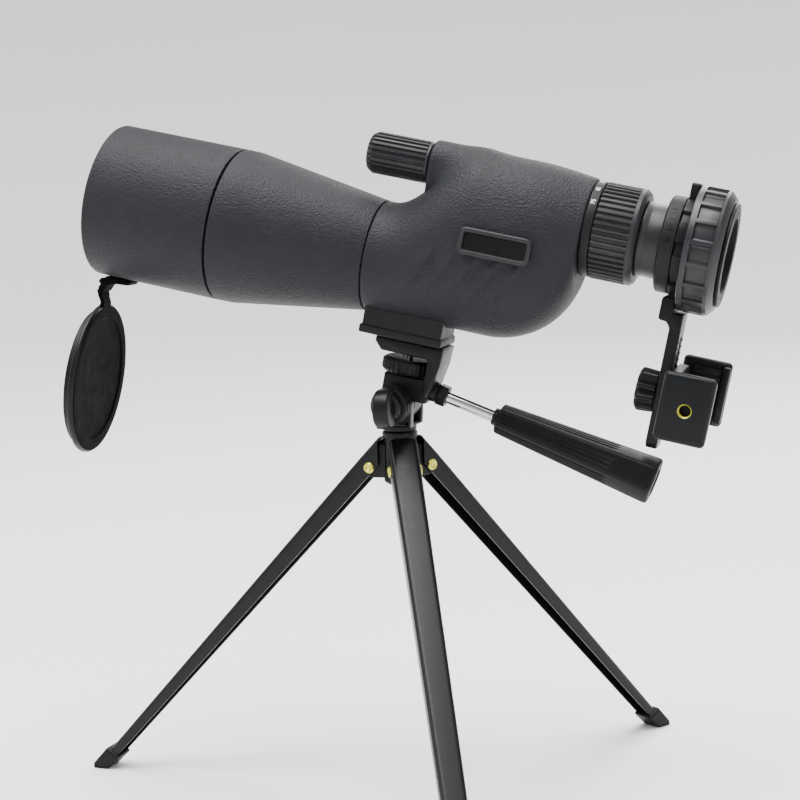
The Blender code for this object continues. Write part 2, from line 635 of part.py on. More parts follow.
def build_eyepiece():
    """The zoom eyepiece: fixed tube, turning scale and grip rings, sliding lens cell and rear barrel."""
    at = (0, 0, EYE_U)
    ring("eyepiece_tube", TUBE_R, 12.5, 236.0, 303.0, BLACK_METAL, SCOPE, at, steps=32)
    inner = TUBE_R + GAP
    ring("zoom_scale_ring", ZOOM_R - 0.3, inner, 242.8, 247.0, BLACK_PLASTIC, SCOPE, at)
    front = 247.3
    plate("zoom_grip", [cogged(ZOOM_R - 0.8, ZOOM_R, 44, 0.5), circle(inner, 32)], ZOOM_BACK - front,
          RUBBER, SCOPE, at=((front + ZOOM_BACK) / 2, 0, EYE_U), turn=ALONG)
    back = 296.0
    outline = [(SHELL_R, back), (SHELL_R, 276.0), (SHELL_R - 0.6, 271.0), (SHELL_R + 0.6, ZOOM_BACK + GAP),
               (inner, ZOOM_BACK + GAP), (inner, back)]
    turned("eyepiece_barrel", outline, BLACK_METAL, SCOPE, at)
    ring("eyecup", SHELL_R - 0.2, inner, back + GAP, 304.5, RUBBER, SCOPE, at, steps=32, soft=0.8)
    ring("zoom_cell", 12.2, 10.0, 252.0, 262.0, BLACK_METAL, SCOPE, at, steps=24)
    r = 9.7
    turned("zoom_lens", [(0, 260.0), (r, 258.2), (r, 255.8), (0, 254.0)], GLASS, SCOPE, at, steps=24)
    r = 12.2
    turned("field_lens", [(0, 240.6), (r, 238.8), (r, 237.0), (0, 237.0)], GLASS, SCOPE, at, steps=24)
    turned("eye_lens", [(0, 301.0), (r, 300.6), (r, 297.4), (0, 295.8)], GLASS, SCOPE, at, steps=24)


# ---- lens cap ----

def build_cap():
    """The cap that hangs from the hood on its rubber strap, with its plug facing forward."""
    centre = CAP_HINGE_U
    front = CAP_FACE_S - CAP_HINGE_S
    back = front + CAP_PLATE
    plug = front - CAP_PLUG
    outline = [(0, back - 0.8), (30.0, back - 0.8), (31.0, back), (CAP_R - 0.8, back), (CAP_R, back - 0.8),
               (CAP_R, front), (CAP_PLUG_R, front), (CAP_PLUG_R, plug), (CAP_PLUG_R - 1.8, plug),
               (CAP_PLUG_R - 1.8, front + 0.6), (0, front + 0.6)]
    turned("lens_cap", outline, RUBBER, CAP_HANG, (0, 0, centre), steps=40)
    block("cap_strap", (-1.0, -5.0, centre + CAP_R + GAP), (1.2, 5.0, -0.5), RUBBER, CAP_HANG)
    lug = [(17.8, -38.6), (16.6, -41.0), (7.0, -41.4), (4.8, -42.6), (3.8, -46.2), (1.9, -46.2),
           (1.9, -41.5), (3.0, -38.6)]
    plate("strap_lug", [lug], 11.0, RUBBER, SCOPE, round_edges=0.3)


# ---- phone adapter ----

def build_adapter():
    """The collar on the eyepiece, the arm's ring with its lugs, the arm, and the big ring nut."""
    at = (0, 0, EYE_U)
    collar_back = 285.6
    sleeve_back = 309.2
    outline = [(SLEEVE_OUT_R, sleeve_back), (SLEEVE_OUT_R, collar_back), (COLLAR_R, collar_back),
               (COLLAR_R, 279.0), (COLLAR_R - 0.6, 278.4), (COLLAR_BORE_R, 278.4),
               (COLLAR_BORE_R, sleeve_back)]
    turned("adapter_collar", outline, BLACK_PLASTIC, SCOPE, at)
    front, back = collar_back + GAP, NUT_FRONT - GAP
    arm_ring = plate("adapter_arm", [cogged(21.9, 23.6, 9, 0.55, 0.02), circle(SLEEVE_OUT_R + GAP, 32)],
                     back - front, BLACK_PLASTIC, SCOPE, at=((front + back) / 2, 0, EYE_U), turn=ALONG)
    tab = block("arm_tab", (front, -5.0, EYE_U + 21.5), (back, 5.0, EYE_U + 30.2), None, SCOPE,
                round_edges=0.8)
    neck = block("arm_neck", (front, -ARM_HALF, -0.5), (back, ARM_HALF, 12.4), None, SCOPE)
    shelf = [(283.6, 10.0), (back - 0.2, 10.0), (back - 0.2, 3.0), (ARM_BACK, 3.0), (ARM_BACK, ARM_LOW),
             (ARM_FRONT, ARM_LOW), (ARM_FRONT, -4.0), (288.6, -1.0), (283.6, -0.6)]
    arm = plate("arm_blade", [shelf], 2 * ARM_HALF, None, SCOPE)
    slot = block("arm_slot", (286, -SLOT_HALF, ARM_LOW + 5.5), (299, SLOT_HALF, -7.0), None, SCOPE)
    cut(join(arm_ring, tab, neck, arm), slot)
    core_r, rim_r, buried = NUT_R - 1.2, NUT_R - 0.3, NUT_R - 4.0
    outline = [(NUT_R - 2.8, NUT_BACK), (rim_r, NUT_BACK - 2.4), (rim_r, NUT_BACK - 3.4),
               (core_r, NUT_BACK - 3.4), (core_r, NUT_FRONT + 2.4), (rim_r, NUT_FRONT + 2.4),
               (rim_r, NUT_FRONT), (SLEEVE_OUT_R + GAP, NUT_FRONT), (SLEEVE_OUT_R + GAP, NUT_BACK)]
    nut = turned("ring_nut", outline, BLACK_PLASTIC, SCOPE, at)
    ribs = plate("nut_ribs", [cogged(buried + 1.0, NUT_R, 18, 0.22, 0.03), circle(buried, 32)], 12.0, None,
                 SCOPE, at=((NUT_FRONT + NUT_BACK - 1.0) / 2, 0, EYE_U), turn=ALONG)
    join(nut, ribs)
    ring("adapter_pad", 24.5, SLEEVE_OUT_R + GAP, NUT_BACK + GAP, 309.2, RUBBER, SCOPE, at, steps=40)


def build_lock_knob():
    """The fluted knob whose bolt runs through the arm's slot into the clamp."""
    front, back = 279.8, ARM_FRONT - GAP
    outline = []
    for i in range(10):
        outline += circle(2.6, 4, (8.6 * math.cos(math.radians(36 * i)), 8.6 * math.sin(math.radians(36 * i))),
                          36 * i - 66, 132)
    knob = plate("lock_knob", [outline], back - front, BLACK_PLASTIC, SCOPE,
                 at=((front + back) / 2, 0, LOCK_U), turn=ALONG, round_edges=0.5)
    bolt = rod("lock_bolt", 2.1, back - 2, 299.8, None, SCOPE, (0, 0, LOCK_U), steps=16)
    join(knob, bolt)


def build_clamp():
    """The fixed jaw and back plate, and the jaw that slides out on two rods."""
    inner = CLAMP_FRONT + JAW_WALL
    base = block("clamp_base", (CLAMP_FRONT, NEAR_FACE - JAW_WALL, CLAMP_LOW),
                 (CLAMP_BACK, NEAR_FACE, CLAMP_TOP), BLACK_PLASTIC, SCOPE, round_edges=1.6)
    spine = block("clamp_spine", (CLAMP_FRONT, NEAR_FACE - 1.5, CLAMP_LOW + 3), (inner, 12.0, CLAMP_TOP - 3),
                  None, SCOPE)
    lip = block("clamp_lip", (LIP_S, NEAR_FACE - 1.5, CLAMP_LOW + 2),
                (CLAMP_BACK - 0.4, NEAR_FACE + LIP_REACH, CLAMP_TOP - 2), None, SCOPE)
    join(base, spine, lip)
    insert = (307.7, NEAR_FACE - JAW_WALL, -35.7)
    insert_hole = rod("insert_hole", 4.4, -8, 2, None, SCOPE, insert, ACROSS)
    bolt_hole = rod("clamp_bolt_hole", 2.4, 290, 305, None, SCOPE, (0, 0, LOCK_U))
    cut(base, insert_hole, bolt_hole)
    ring("clamp_insert", 4.1, 3.1, -4.7, 0.0, BRASS, SCOPE, insert, ACROSS, 24)
    for place_name, height in (("upper", -25.5), ("lower", -46.5)):
        channel = rod("rod_channel_" + place_name, 1.5, -16, 34, None, SCOPE, (CLAMP_FRONT + 2.6, 0, height),
                      ACROSS, 16)
        cut(base, channel)
        rod("guide_rod_" + place_name, 1.2, -JAW_FACE + GAP, 33, CHROME, SCOPE,
            (CLAMP_FRONT + 2.6, 0, height), ACROSS, 12)
    jaw = block("sliding_jaw", (CLAMP_FRONT, JAW_FACE, CLAMP_LOW), (CLAMP_BACK, JAW_FACE + JAW_WALL, CLAMP_TOP),
                BLACK_PLASTIC, SCOPE, round_edges=1.6)
    jaw_lip = block("jaw_lip", (LIP_S, JAW_FACE - LIP_REACH, CLAMP_LOW + 2),
                    (CLAMP_BACK - 0.4, JAW_FACE + 1.5, CLAMP_TOP - 2), None, SCOPE)
    join(jaw, jaw_lip)
    pad_low, pad_high = CLAMP_LOW + 4, CLAMP_TOP - 4
    block("jaw_pad", (inner + 1.0, JAW_FACE - 1.5, pad_low), (LIP_S - GAP, JAW_FACE - GAP, pad_high), RUBBER,
          SCOPE)
    block("clamp_pad", (inner + GAP, NEAR_FACE + GAP, pad_low), (LIP_S - GAP, NEAR_FACE + 1.5, pad_high),
          RUBBER, SCOPE)


build_hub()
for leg_side, leg_azimuth in LEG_AZIMUTHS.items():
    build_leg(leg_side, leg_azimuth)
build_yoke()
build_tilt_bracket()
build_screw_wheel()
build_tilt_knob()
build_handle()
build_sunshade()
build_front_tube()
build_objective()
build_housing()
build_focus()
build_prisms()
build_mount_foot()
build_badge()
build_eyepiece()
build_cap()
build_adapter()
build_lock_knob()
build_clamp()
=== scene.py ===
import json
import math

import bmesh
import bpy
from mathutils import Matrix, Vector
from mathutils.geometry import tessellate_polygon


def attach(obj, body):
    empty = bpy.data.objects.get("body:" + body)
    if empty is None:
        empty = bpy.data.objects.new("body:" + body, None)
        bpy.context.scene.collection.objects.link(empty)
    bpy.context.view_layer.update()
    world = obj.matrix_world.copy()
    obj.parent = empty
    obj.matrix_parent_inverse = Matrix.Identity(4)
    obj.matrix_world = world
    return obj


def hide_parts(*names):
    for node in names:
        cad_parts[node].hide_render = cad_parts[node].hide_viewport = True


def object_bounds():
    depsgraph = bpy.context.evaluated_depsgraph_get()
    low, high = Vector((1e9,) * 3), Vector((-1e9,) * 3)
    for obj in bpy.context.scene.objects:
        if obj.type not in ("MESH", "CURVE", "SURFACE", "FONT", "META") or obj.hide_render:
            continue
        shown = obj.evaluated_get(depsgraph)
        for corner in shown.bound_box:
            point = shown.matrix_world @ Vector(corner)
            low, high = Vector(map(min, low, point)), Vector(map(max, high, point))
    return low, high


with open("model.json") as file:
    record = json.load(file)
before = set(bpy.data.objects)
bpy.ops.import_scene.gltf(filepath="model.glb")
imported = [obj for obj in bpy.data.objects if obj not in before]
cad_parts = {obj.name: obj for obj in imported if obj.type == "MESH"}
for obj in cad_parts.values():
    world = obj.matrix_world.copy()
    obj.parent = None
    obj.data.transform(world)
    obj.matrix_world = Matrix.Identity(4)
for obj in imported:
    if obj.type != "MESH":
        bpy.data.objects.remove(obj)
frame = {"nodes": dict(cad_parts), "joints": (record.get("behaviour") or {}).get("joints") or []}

MM = 0.001
CAD_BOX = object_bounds()
NODES = frame["nodes"]
JOINTS = {joint["name"]: joint for joint in frame["joints"]}

# ---- frames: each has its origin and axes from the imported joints, and holds millimetres ----
PIVOT_S = 166.5                 # the tilt axis in the scope's frame
PIVOT_U = -68.4


def axes(origin, x_axis, z_axis):
    x_dir, z_dir = Vector(x_axis).normalized(), Vector(z_axis).normalized()
    matrix = Matrix((x_dir, z_dir.cross(x_dir), z_dir)).transposed().to_4x4()
    matrix.translation = Vector(origin)
    return matrix


BACK = Vector(JOINTS["focus_lens_slide"]["axis"])
UP = Vector(JOINTS["clamp_slide"]["axis"])
TILT_POINT = Vector(JOINTS["head_tilt"]["pos_m"])
PAN_POINT = Vector(JOINTS["head_pan"]["pos_m"])
SCOPE = axes(TILT_POINT - BACK * PIVOT_S * MM - UP * PIVOT_U * MM, BACK, UP)
TILT = axes(TILT_POINT, BACK, UP)
LEVEL = axes(TILT_POINT, (1, 0, 0), (0, 0, 1))
STAND = axes((PAN_POINT.x, PAN_POINT.y, 0), (1, 0, 0), (0, 0, 1))
HANDLE_AXIS = Vector(JOINTS["handle_turn"]["axis"])
HANDLE = axes(JOINTS["handle_turn"]["pos_m"], HANDLE_AXIS, HANDLE_AXIS.cross(Vector((0, 1, 0))))
HINGE = SCOPE.inverted() @ Vector(JOINTS["cap_swing"]["pos_m"])
CAP_TURN = 2.8                  # degrees: the hinge is skewed by this, and the cap turns as much again
CAP_LEAN = -3.1                 # degrees that the hanging cap leans forward
TWIST = Matrix.Rotation(math.radians(CAP_TURN), 4, "Z")
CAP = SCOPE @ Matrix.Translation(HINGE) @ TWIST @ Matrix.Rotation(math.radians(CAP_LEAN), 4, "Y") @ TWIST
# An outline in X and Z with its thickness along -Y, and one in Y and Z with its thickness along X.
UPRIGHT = Matrix.Rotation(math.radians(90), 4, "X")
FACING = Matrix(((0, 0, 1, 0), (1, 0, 0, 0), (0, 1, 0, 0), (0, 0, 0, 1)))
# A turned piece whose length runs along -Y, and one whose length runs along Z.
Y_TURNED = Matrix(((0, 1, 0, 0), (-1, 0, 0, 0), (0, 0, 1, 0), (0, 0, 0, 1)))
Z_TURNED = Matrix(((0, 0, -1, 0), (0, 1, 0, 0), (1, 0, 0, 0), (0, 0, 0, 1)))


def span(node, matrix=SCOPE):
    """Lowest and highest corner of a CAD node in a frame, in millimetres."""
    inverse = matrix.inverted()
    points = [inverse @ v.co / MM for v in NODES[node].data.vertices]
    low = Vector([min(p[i] for p in points) for i in range(3)])
    high = Vector([max(p[i] for p in points) for i in range(3)])
    return low, high


def round_span(node):
    """Front, back and radius of a round CAD node that lies along the scope."""
    low, high = span(node)
    return low.x, high.x, (high.z - low.z) / 2


# ---- materials ----

def map_range(tree, value, low, high, start, end, curve="LINEAR"):
    """Map a value from start and end to low and high."""
    node = tree.nodes.new("ShaderNodeMapRange")
    node.interpolation_type = curve
    for socket, number in (("From Min", start), ("From Max", end), ("To Min", low), ("To Max", high)):
        node.inputs[socket].default_value = number
    tree.links.new(value, node.inputs["Value"])
    return node.outputs["Result"]


class Paint:
    """A Principled material with its colour, gloss and bump driven by object-space noise."""

    def __init__(self, name, color, roughness, metallic=0.0, specular=0.5):
        self.material = bpy.data.materials.new(name)
        self.material.use_nodes = True
        self.nodes = self.material.node_tree.nodes
        self.links = self.material.node_tree.links
        self.shader = self.nodes["Principled BSDF"]
        self.shader.inputs["Metallic"].default_value = metallic
        self.shader.inputs["Specular IOR Level"].default_value = specular
        self.place = self.nodes.new("ShaderNodeTexCoord").outputs["Object"]
        self.color = color
        self.roughness = roughness
        self.height = None

    def noise(self, size_mm, detail=3.0):
        node = self.nodes.new("ShaderNodeTexNoise")
        node.inputs["Scale"].default_value = 1.0 / (size_mm * MM)
        node.inputs["Detail"].default_value = detail
        self.links.new(self.place, node.inputs["Vector"])
        return node.outputs["Fac"]

    def pebbles(self, size_mm):
        """Smooth cells, raised in the middle, for a leather-like moulded grain."""
        node = self.nodes.new("ShaderNodeTexVoronoi")
        node.feature = "SMOOTH_F1"
        node.inputs["Scale"].default_value = 1.0 / (size_mm * MM)
        node.inputs["Smoothness"].default_value = 0.6
        self.links.new(self.place, node.inputs["Vector"])
        flip = self.nodes.new("ShaderNodeMath")
        flip.operation = "SUBTRACT"
        flip.inputs[0].default_value = 1.0
        self.links.new(node.outputs["Distance"], flip.inputs[1])
        return flip.outputs["Value"]

    def ramp(self, value, low, high):
        """Spread a noise, which seldom leaves the middle of its range, from low to high."""
        return map_range(self.material.node_tree, value, low, high, 0.3, 0.7)

    def vary(self, value, change, other=None):
        """Mix the colour between a darker tone and a lighter or other one by a noise."""
        node = self.nodes.new("ShaderNodeMix")
        node.data_type = "RGBA"
        dark = [c * (1.0 - change) for c in self.color]
        light = other or [c * (1.0 + change) for c in self.color]
        node.inputs["A"].default_value = (*dark, 1.0)
        node.inputs["B"].default_value = (*light, 1.0)
        self.links.new(self.ramp(value, 0.0, 1.0), node.inputs["Factor"])
        self.links.new(node.outputs["Result"], self.shader.inputs["Base Color"])
        return self

    def gloss(self, value, change):
        spread = self.ramp(value, self.roughness - change, self.roughness + change)
        self.links.new(spread, self.shader.inputs["Roughness"])
        return self

    def bump(self, value, depth_mm, strength):
        node = self.nodes.new("ShaderNodeBump")
        node.inputs["Strength"].default_value = strength
        node.inputs["Distance"].default_value = depth_mm * MM
        self.links.new(value, node.inputs["Height"])
        if self.height:
            self.links.new(self.height, node.inputs["Normal"])
        self.height = node.outputs["Normal"]
        self.links.new(self.height, self.shader.inputs["Normal"])
        return self


def finish(name, color, roughness, tone, gloss, grain=None, metallic=0.0, specular=0.5, light=None):
    """A paint whose tone, gloss and grain follow noises, each with a size in mm, a detail and an amount."""
    paint = Paint(name, color, roughness, metallic, specular)
    paint.vary(paint.noise(*tone[:2]), tone[2], light)
    paint.gloss(paint.noise(*gloss[:2]), gloss[2])
    if grain:
        paint.bump(paint.noise(*grain[:2]), *grain[2:])
    return paint


# Material name, slot, colour, roughness, grain size and depth in mm, specular level and metallic share.
MOULDED = {
    "plastic": ("satin_plastic", "black_plastic", (0.0035, 0.0036, 0.0040), 0.38, 0.35, 0.02, 0.14, 0),
    "satin": ("bright_satin_plastic", "black_plastic", (0.0110, 0.0113, 0.0130), 0.36, 0.35, 0.02, 0.30, 0),
    "soft_plastic": ("matte_plastic", "black_plastic", (0.0050, 0.0052, 0.0060), 0.50, 0.45, 0.03, 0.15, 0),
    "clamp": ("clamp_plastic", "black_plastic", (0.0045, 0.0050, 0.0058), 0.34, 0.35, 0.02, 0.12, 0),
    "rubber": ("black_rubber", "rubber", (0.0030, 0.0030, 0.0034), 0.46, 0.5, 0.04, 0.14, 0),
    "handle_rubber": ("handle_rubber", "rubber", (0.0035, 0.0037, 0.0042), 0.42, 0.5, 0.01, 0.12, 0),
    "grip": ("grip_rubber", "rubber", (0.0100, 0.0103, 0.0118), 0.44, 0.5, 0.03, 0.24, 0),
    "cap": ("cap_rubber", "rubber", (0.0025, 0.0025, 0.0027), 0.40, 0.6, 0.03, 0.16, 0),
    "cap_face": ("cap_face_rubber", "rubber", (0.0025, 0.0025, 0.0027), 0.62, 0.6, 0.04, 0.015, 0),
    "anodised": ("black_anodised", "black_metal", (0.0095, 0.0098, 0.0112), 0.40, 0.25, 0.01, 0.28, 0.05),
    "dark": ("flocked_black", "black_metal", (0.003, 0.003, 0.0033), 0.85, 0.3, 0.03, 0.05, 0)}


def make_paints():
    paints = {}
    for key, (name, _, color, roughness, size, depth, specular, metallic) in MOULDED.items():
        paints[key] = finish(name, color, roughness, (14.0, 3.0, 0.15), (6.0, 5.0, 0.06),
                             (size, 2.0, depth, 0.6), metallic, specular)
    armour = finish("armour_rubber", (0.0085, 0.0090, 0.0110), 0.54, (18.0, 3.0, 0.10), (0.7, 2.0, 0.07),
                    (1.3, 3.0, 0.26, 0.9), specular=0.17)
    paints["armour"] = armour.bump(armour.pebbles(0.9), 0.30, 0.9)
    paints["leg"] = finish("gunmetal_leg", (0.0028, 0.0031, 0.0036), 0.30, (22.0, 3.0, 0.10),
                           (2.5, 4.0, 0.03), (0.9, 3.0, 0.004, 0.4), specular=0.17)
    paints["chrome"] = finish("chrome_plate", (0.42, 0.43, 0.44), 0.12, (9.0, 3.0, 0.04), (3.0, 5.0, 0.03),
                              (0.5, 3.0, 0.002, 0.4), metallic=1.0)
    paints["brass"] = finish("yellow_zinc", (0.58, 0.55, 0.08), 0.34, (5.0, 3.0, 0.05), (4.0, 3.0, 0.03),
                             metallic=0.9, light=(0.60, 0.57, 0.09))
    paints["ink"] = finish("white_ink", (0.80, 0.80, 0.78), 0.6, (0.8, 3.0, 0.06), (0.6, 3.0, 0.05))
    paints["inset"] = finish("gloss_inset", (0.0025, 0.0025, 0.003), 0.22, (3.0, 3.0, 0.3), (2.0, 3.0, 0.04),
                             (1.2, 3.0, 0.004, 0.4), specular=0.12)
    glass = finish("coated_glass", (0.55, 0.75, 0.72), 0.03, (20.0, 3.0, 0.08), (10.0, 3.0, 0.01))
    glass.shader.inputs["Transmission Weight"].default_value = 0.92
    glass.shader.inputs["IOR"].default_value = 1.52
    glass.shader.inputs["Coat Weight"].default_value = 0.6
    glass.shader.inputs["Coat Tint"].default_value = (0.45, 0.85, 0.6, 1.0)
    paints["glass"] = glass
    return {name: paint.material for name, paint in paints.items()}


PAINTS = make_paints()


# ---- mesh helpers, all in millimetres ----
SHARP = 32.0                    # edges bent by more degrees than this stay sharp


def place(name, data, matrix=Matrix.Identity(4)):
    item = bpy.data.objects.new(name, data)
    bpy.context.scene.collection.objects.link(item)
    item.matrix_world = matrix
    return item


def evaluated(item):
    """A new mesh of an object with its modifiers applied."""
    bpy.context.view_layer.update()
    return bpy.data.meshes.new_from_object(item.evaluated_get(bpy.context.evaluated_depsgraph_get()))


def smooth(mesh, sharp):
    mesh.shade_smooth()
    mesh.set_sharp_from_angle(angle=math.radians(sharp))


def to_object(name, bm, matrix, sharp=SHARP):
    bmesh.ops.remove_doubles(bm, verts=bm.verts, dist=0.001 * MM)
    bmesh.ops.recalc_face_normals(bm, faces=bm.faces)
    mesh = bpy.data.meshes.new(name)
    bm.to_mesh(mesh)
    bm.free()
    smooth(mesh, sharp)
    return place(name, mesh, matrix)


def dress(piece, paint, body, *nodes, second=None, inside=None):
    """Give a piece its material, its body and the CAD nodes that it stands for."""
    piece.data.materials.clear()
    piece.data.materials.append(PAINTS[paint])
    if second:
        piece.data.materials.append(PAINTS[second])
    for face in piece.data.polygons:
        face.material_index = 1 if second and inside(face.center / MM) else 0
    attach(piece, body)
    if nodes:
        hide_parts(*nodes)
    return piece


def rounded(corners, radius=0.6, closed=True, parts=4):
    """Replace each corner (x, y[, radius[, share]]) of an outline by a small arc."""
    points = []
    count = len(corners)
    for i, corner in enumerate(corners):
        share = corner[3] if len(corner) > 3 else 0.0
        bend = corner[2] if len(corner) > 2 else radius
        here = Vector(corner[:2])
        to_last = Vector(corners[i - 1][:2]) - here
        to_next = Vector(corners[(i + 1) % count][:2]) - here
        if bend == 0 or (not closed and i in (0, count - 1)):
            points.append((here.x, here.y, share))
            continue
        reach = bend / math.tan(to_last.angle(to_next) / 2)
        reach = min(reach, to_last.length * 0.49, to_next.length * 0.49)
        start, end = here + to_last.normalized() * reach, here + to_next.normalized() * reach
        for k in range(parts + 1):
            t = k / parts
            spot = start * (1 - t) ** 2 + here * 2 * t * (1 - t) + end * t * t
            points.append((spot.x, spot.y, share))
    return points


def skin(rows, closed=False):
    """Faces between rings of points; closed joins the last ring to the first too."""
    bm = bmesh.new()
    grid = [[bm.verts.new([v * MM for v in point]) for point in row] for row in rows]
    pairs = list(zip(grid, grid[1:]))
    if closed:
        pairs.append((grid[-1], grid[0]))
    count = len(grid[0])
    for row, following in pairs:
        for i in range(count):
            j = (i + 1) % count
            bm.faces.new((row[i], row[j], following[j], following[i]))
    return bm, grid


def capped(rows):
    """A skin with a face at each end."""
    bm, grid = skin(rows)
    bm.faces.new(grid[0])
    bm.faces.new(grid[-1])
    return bm


def oval(x, half, middle, tall, count):
    """A ring of points round X: half its width, its middle's height, and half its own height."""
    return [(x, half * math.sin(math.tau * i / count), middle + tall * math.cos(math.tau * i / count))
            for i in range(count)]


def lathe(name, outline, matrix, lift=0.0, steps=96, wave=None):
    """Turn (x, radius[, share]) points about X at a height. A wave cuts share of its depth at each angle."""
    rows = []
    for x, r, *rest in outline:
        share = rest[0] if rest else 0.0
        row = []
        for i in range(steps):
            angle = math.tau * i / steps
            reach = max(r - share * wave(angle), 0.0) if wave else r
            row.append((x, reach * math.sin(angle), lift + reach * math.cos(angle)))
        rows.append(row)
    on_axis = outline[0][1] == 0 and outline[-1][1] == 0
    bm, _ = skin(rows, not on_axis)
    bmesh.ops.remove_doubles(bm, verts=bm.verts, dist=0.001 * MM)
    bmesh.ops.dissolve_degenerate(bm, edges=bm.edges, dist=0.0005 * MM)
    return to_object(name, bm, matrix)


def turned(name, corners, matrix, lift=0.0, steps=96, wave=None, radius=0.6, parts=4):
    """A lathe piece with rounded corners. An outline that starts and ends on the axis stays open there."""
    on_axis = corners[0][1] == 0 and corners[-1][1] == 0
    return lathe(name, rounded(corners, radius, not on_axis, parts), matrix, lift, steps, wave)


def bore(name, start, end, radius, matrix, steps=32, lift=0.0):
    """A plain round cutter."""
    return lathe(name, [(start, 0), (start, radius), (end, radius), (end, 0)], matrix, lift, steps)


def ribs(count, depth, share=0.5, edge=0.18):
    """A wave for lathe: full depth in the grooves and none on the ribs, with sloped sides."""
    def wave(angle):
        phase = (angle / math.tau * count) % 1.0
        away = abs(phase - 0.5)
        rise = (away - (0.5 - share / 2)) / edge + 0.5
        t = min(max(rise, 0.0), 1.0)
        return depth * (1.0 - t * t * (3 - 2 * t))
    return wave


def area_of(loop):
    return sum(a[0] * b[1] - b[0] * a[1] for a, b in zip(loop, loop[1:] + loop[:1])) / 2


def inset(loop, distance):
    """Move a loop's points to its left, mitred at the corners."""
    moved = []
    count = len(loop)
    for i in range(count):
        here = Vector(loop[i][:2])
        before = (here - Vector(loop[i - 1][:2])).normalized()
        after = (Vector(loop[(i + 1) % count][:2]) - here).normalized()
        first, second = Vector((-before.y, before.x)), Vector((-after.y, after.x))
        scale = max(1.0 + first.dot(second), 0.4)
        moved.append(here + (first + second) * distance / scale)
    return moved


def plate(name, loops, low, high, matrix, edge=0.5, parts=3):
    """A flat outline with holes, from low to high along local Z, with rounded rims."""
    wound = []
    for i, loop in enumerate(loops):
        is_outside = i == 0
        wound.append(list(loop) if (area_of(loop) > 0) == is_outside else list(reversed(loop)))
    levels = []
    for k in range(parts + 1):
        angle = math.pi / 2 * k / parts
        levels.append((edge * (1 - math.sin(angle)), low + edge * (1 - math.cos(angle))))
    levels += [(depth, high + low - height) for depth, height in reversed(levels)]
    bm = bmesh.new()
    rings = []
    for depth, height in levels:
        level = []
        for loop in wound:
            level.append([bm.verts.new((p.x * MM, p.y * MM, height * MM)) for p in inset(loop, depth)])
        rings.append(level)
    for level, following in zip(rings, rings[1:]):
        for loop, above in zip(level, following):
            count = len(loop)
            for i in range(count):
                j = (i + 1) % count
                bm.faces.new((loop[i], loop[j], above[j], above[i]))
    for level in (rings[0], rings[-1]):
        flat = [vert for loop in level for vert in loop]
        for corners in tessellate_polygon([[vert.co for vert in loop] for loop in level]):
            bm.faces.new([flat[i] for i in corners])
    bmesh.ops.dissolve_limit(bm, angle_limit=math.radians(0.5), verts=bm.verts, edges=bm.edges)
    return to_object(name, bm, matrix)


def lump(name, low, high, radius, matrix, parts=4):
    """A box between two corners with all its edges rounded."""
    bm = bmesh.new()
    bmesh.ops.create_cube(bm, size=1.0)
    for vert in bm.verts:
        for axis in range(3):
            middle = (low[axis] + high[axis]) / 2
            vert.co[axis] = (middle + vert.co[axis] * (high[axis] - low[axis])) * MM
    bmesh.ops.bevel(bm, geom=bm.edges[:], offset=radius * MM, segments=parts, profile=0.5, affect="EDGES")
    return to_object(name, bm, matrix)


def circle(radius, count, centre=(0.0, 0.0), start=0.0, sweep=360.0):
    whole = abs(sweep) >= 360.0
    angles = [math.radians(start + sweep * i / (count if whole else count - 1)) for i in range(count)]
    return [(centre[0] + radius * math.cos(a), centre[1] + radius * math.sin(a)) for a in angles]


def combine(base, operation, *others):
    """Apply Boolean steps and drop the tools. The second solver is for when the first comes back empty."""
    for solver in ("EXACT", "MANIFOLD"):
        for other in others:
            step = base.modifiers.new(other.name, "BOOLEAN")
            step.operation = operation
            step.solver = solver
            step.object = other
        mesh = evaluated(base)
        base.modifiers.clear()
        if len(mesh.polygons) > 0:
            break
    base.data = mesh
    smooth(mesh, SHARP)
    for other in others:
        bpy.data.objects.remove(other, do_unlink=True)
    return base


def merged(base, *others):
    return combine(base, "UNION", *others)


def bored(base, *others):
    return combine(base, "DIFFERENCE", *others)


def moved(matrix, x, y, z):
    return matrix @ Matrix.Translation((x * MM, y * MM, z * MM))


def along_y(matrix, x=0.0, z=0.0):
    """A frame for lathe whose length runs along -Y through a point."""
    return moved(matrix, x, 0, z) @ Y_TURNED


def along_z(matrix, x=0.0, y=0.0):
    return moved(matrix, x, y, 0) @ Z_TURNED


# ---- scope ----
HOOD_BACK, _, HOOD_R = span("sunshade")[1]
HOOD_INNER = HOOD_R - 2.4
CONE_FRONT, SEAM_BACK, _ = round_span("front_tube")
SLEEVE_R = 35.2
SHELL_LOW, SHELL_HIGH = span("prism_housing")
NECK_R = 27.2
TURRET_U = 49.1
TURRET_R = 10.7
TURRET_FRONT = 162.0
TURRET_FADE = 176.0             # the turret sinks into the housing from here back
EYE_U = 33.5                    # the eyepiece's axis is this far above the objective's
EYE_BORE = 14.8


def build_hood():
    """The hood, with a rolled front lip and fine baffle grooves inside."""
    outline = [(HOOD_BACK, HOOD_R, 0.7), (0.0, HOOD_R, 1.6), (0.0, HOOD_INNER, 0.8)]
    grooves = []
    for i in range(28):
        start = 4.0 + i * 2.0
        grooves += [(start, HOOD_INNER, 0), (start + 1.0, HOOD_INNER + 0.4, 0)]
    hood = turned("hood", outline + grooves + [(HOOD_BACK, HOOD_INNER, 0)], SCOPE, steps=160)
    dress(hood, "armour", "sunshade", "sunshade", second="dark",
          inside=lambda c: math.hypot(c.y, c.z) < HOOD_INNER + 0.6 and c.x > 1.0)


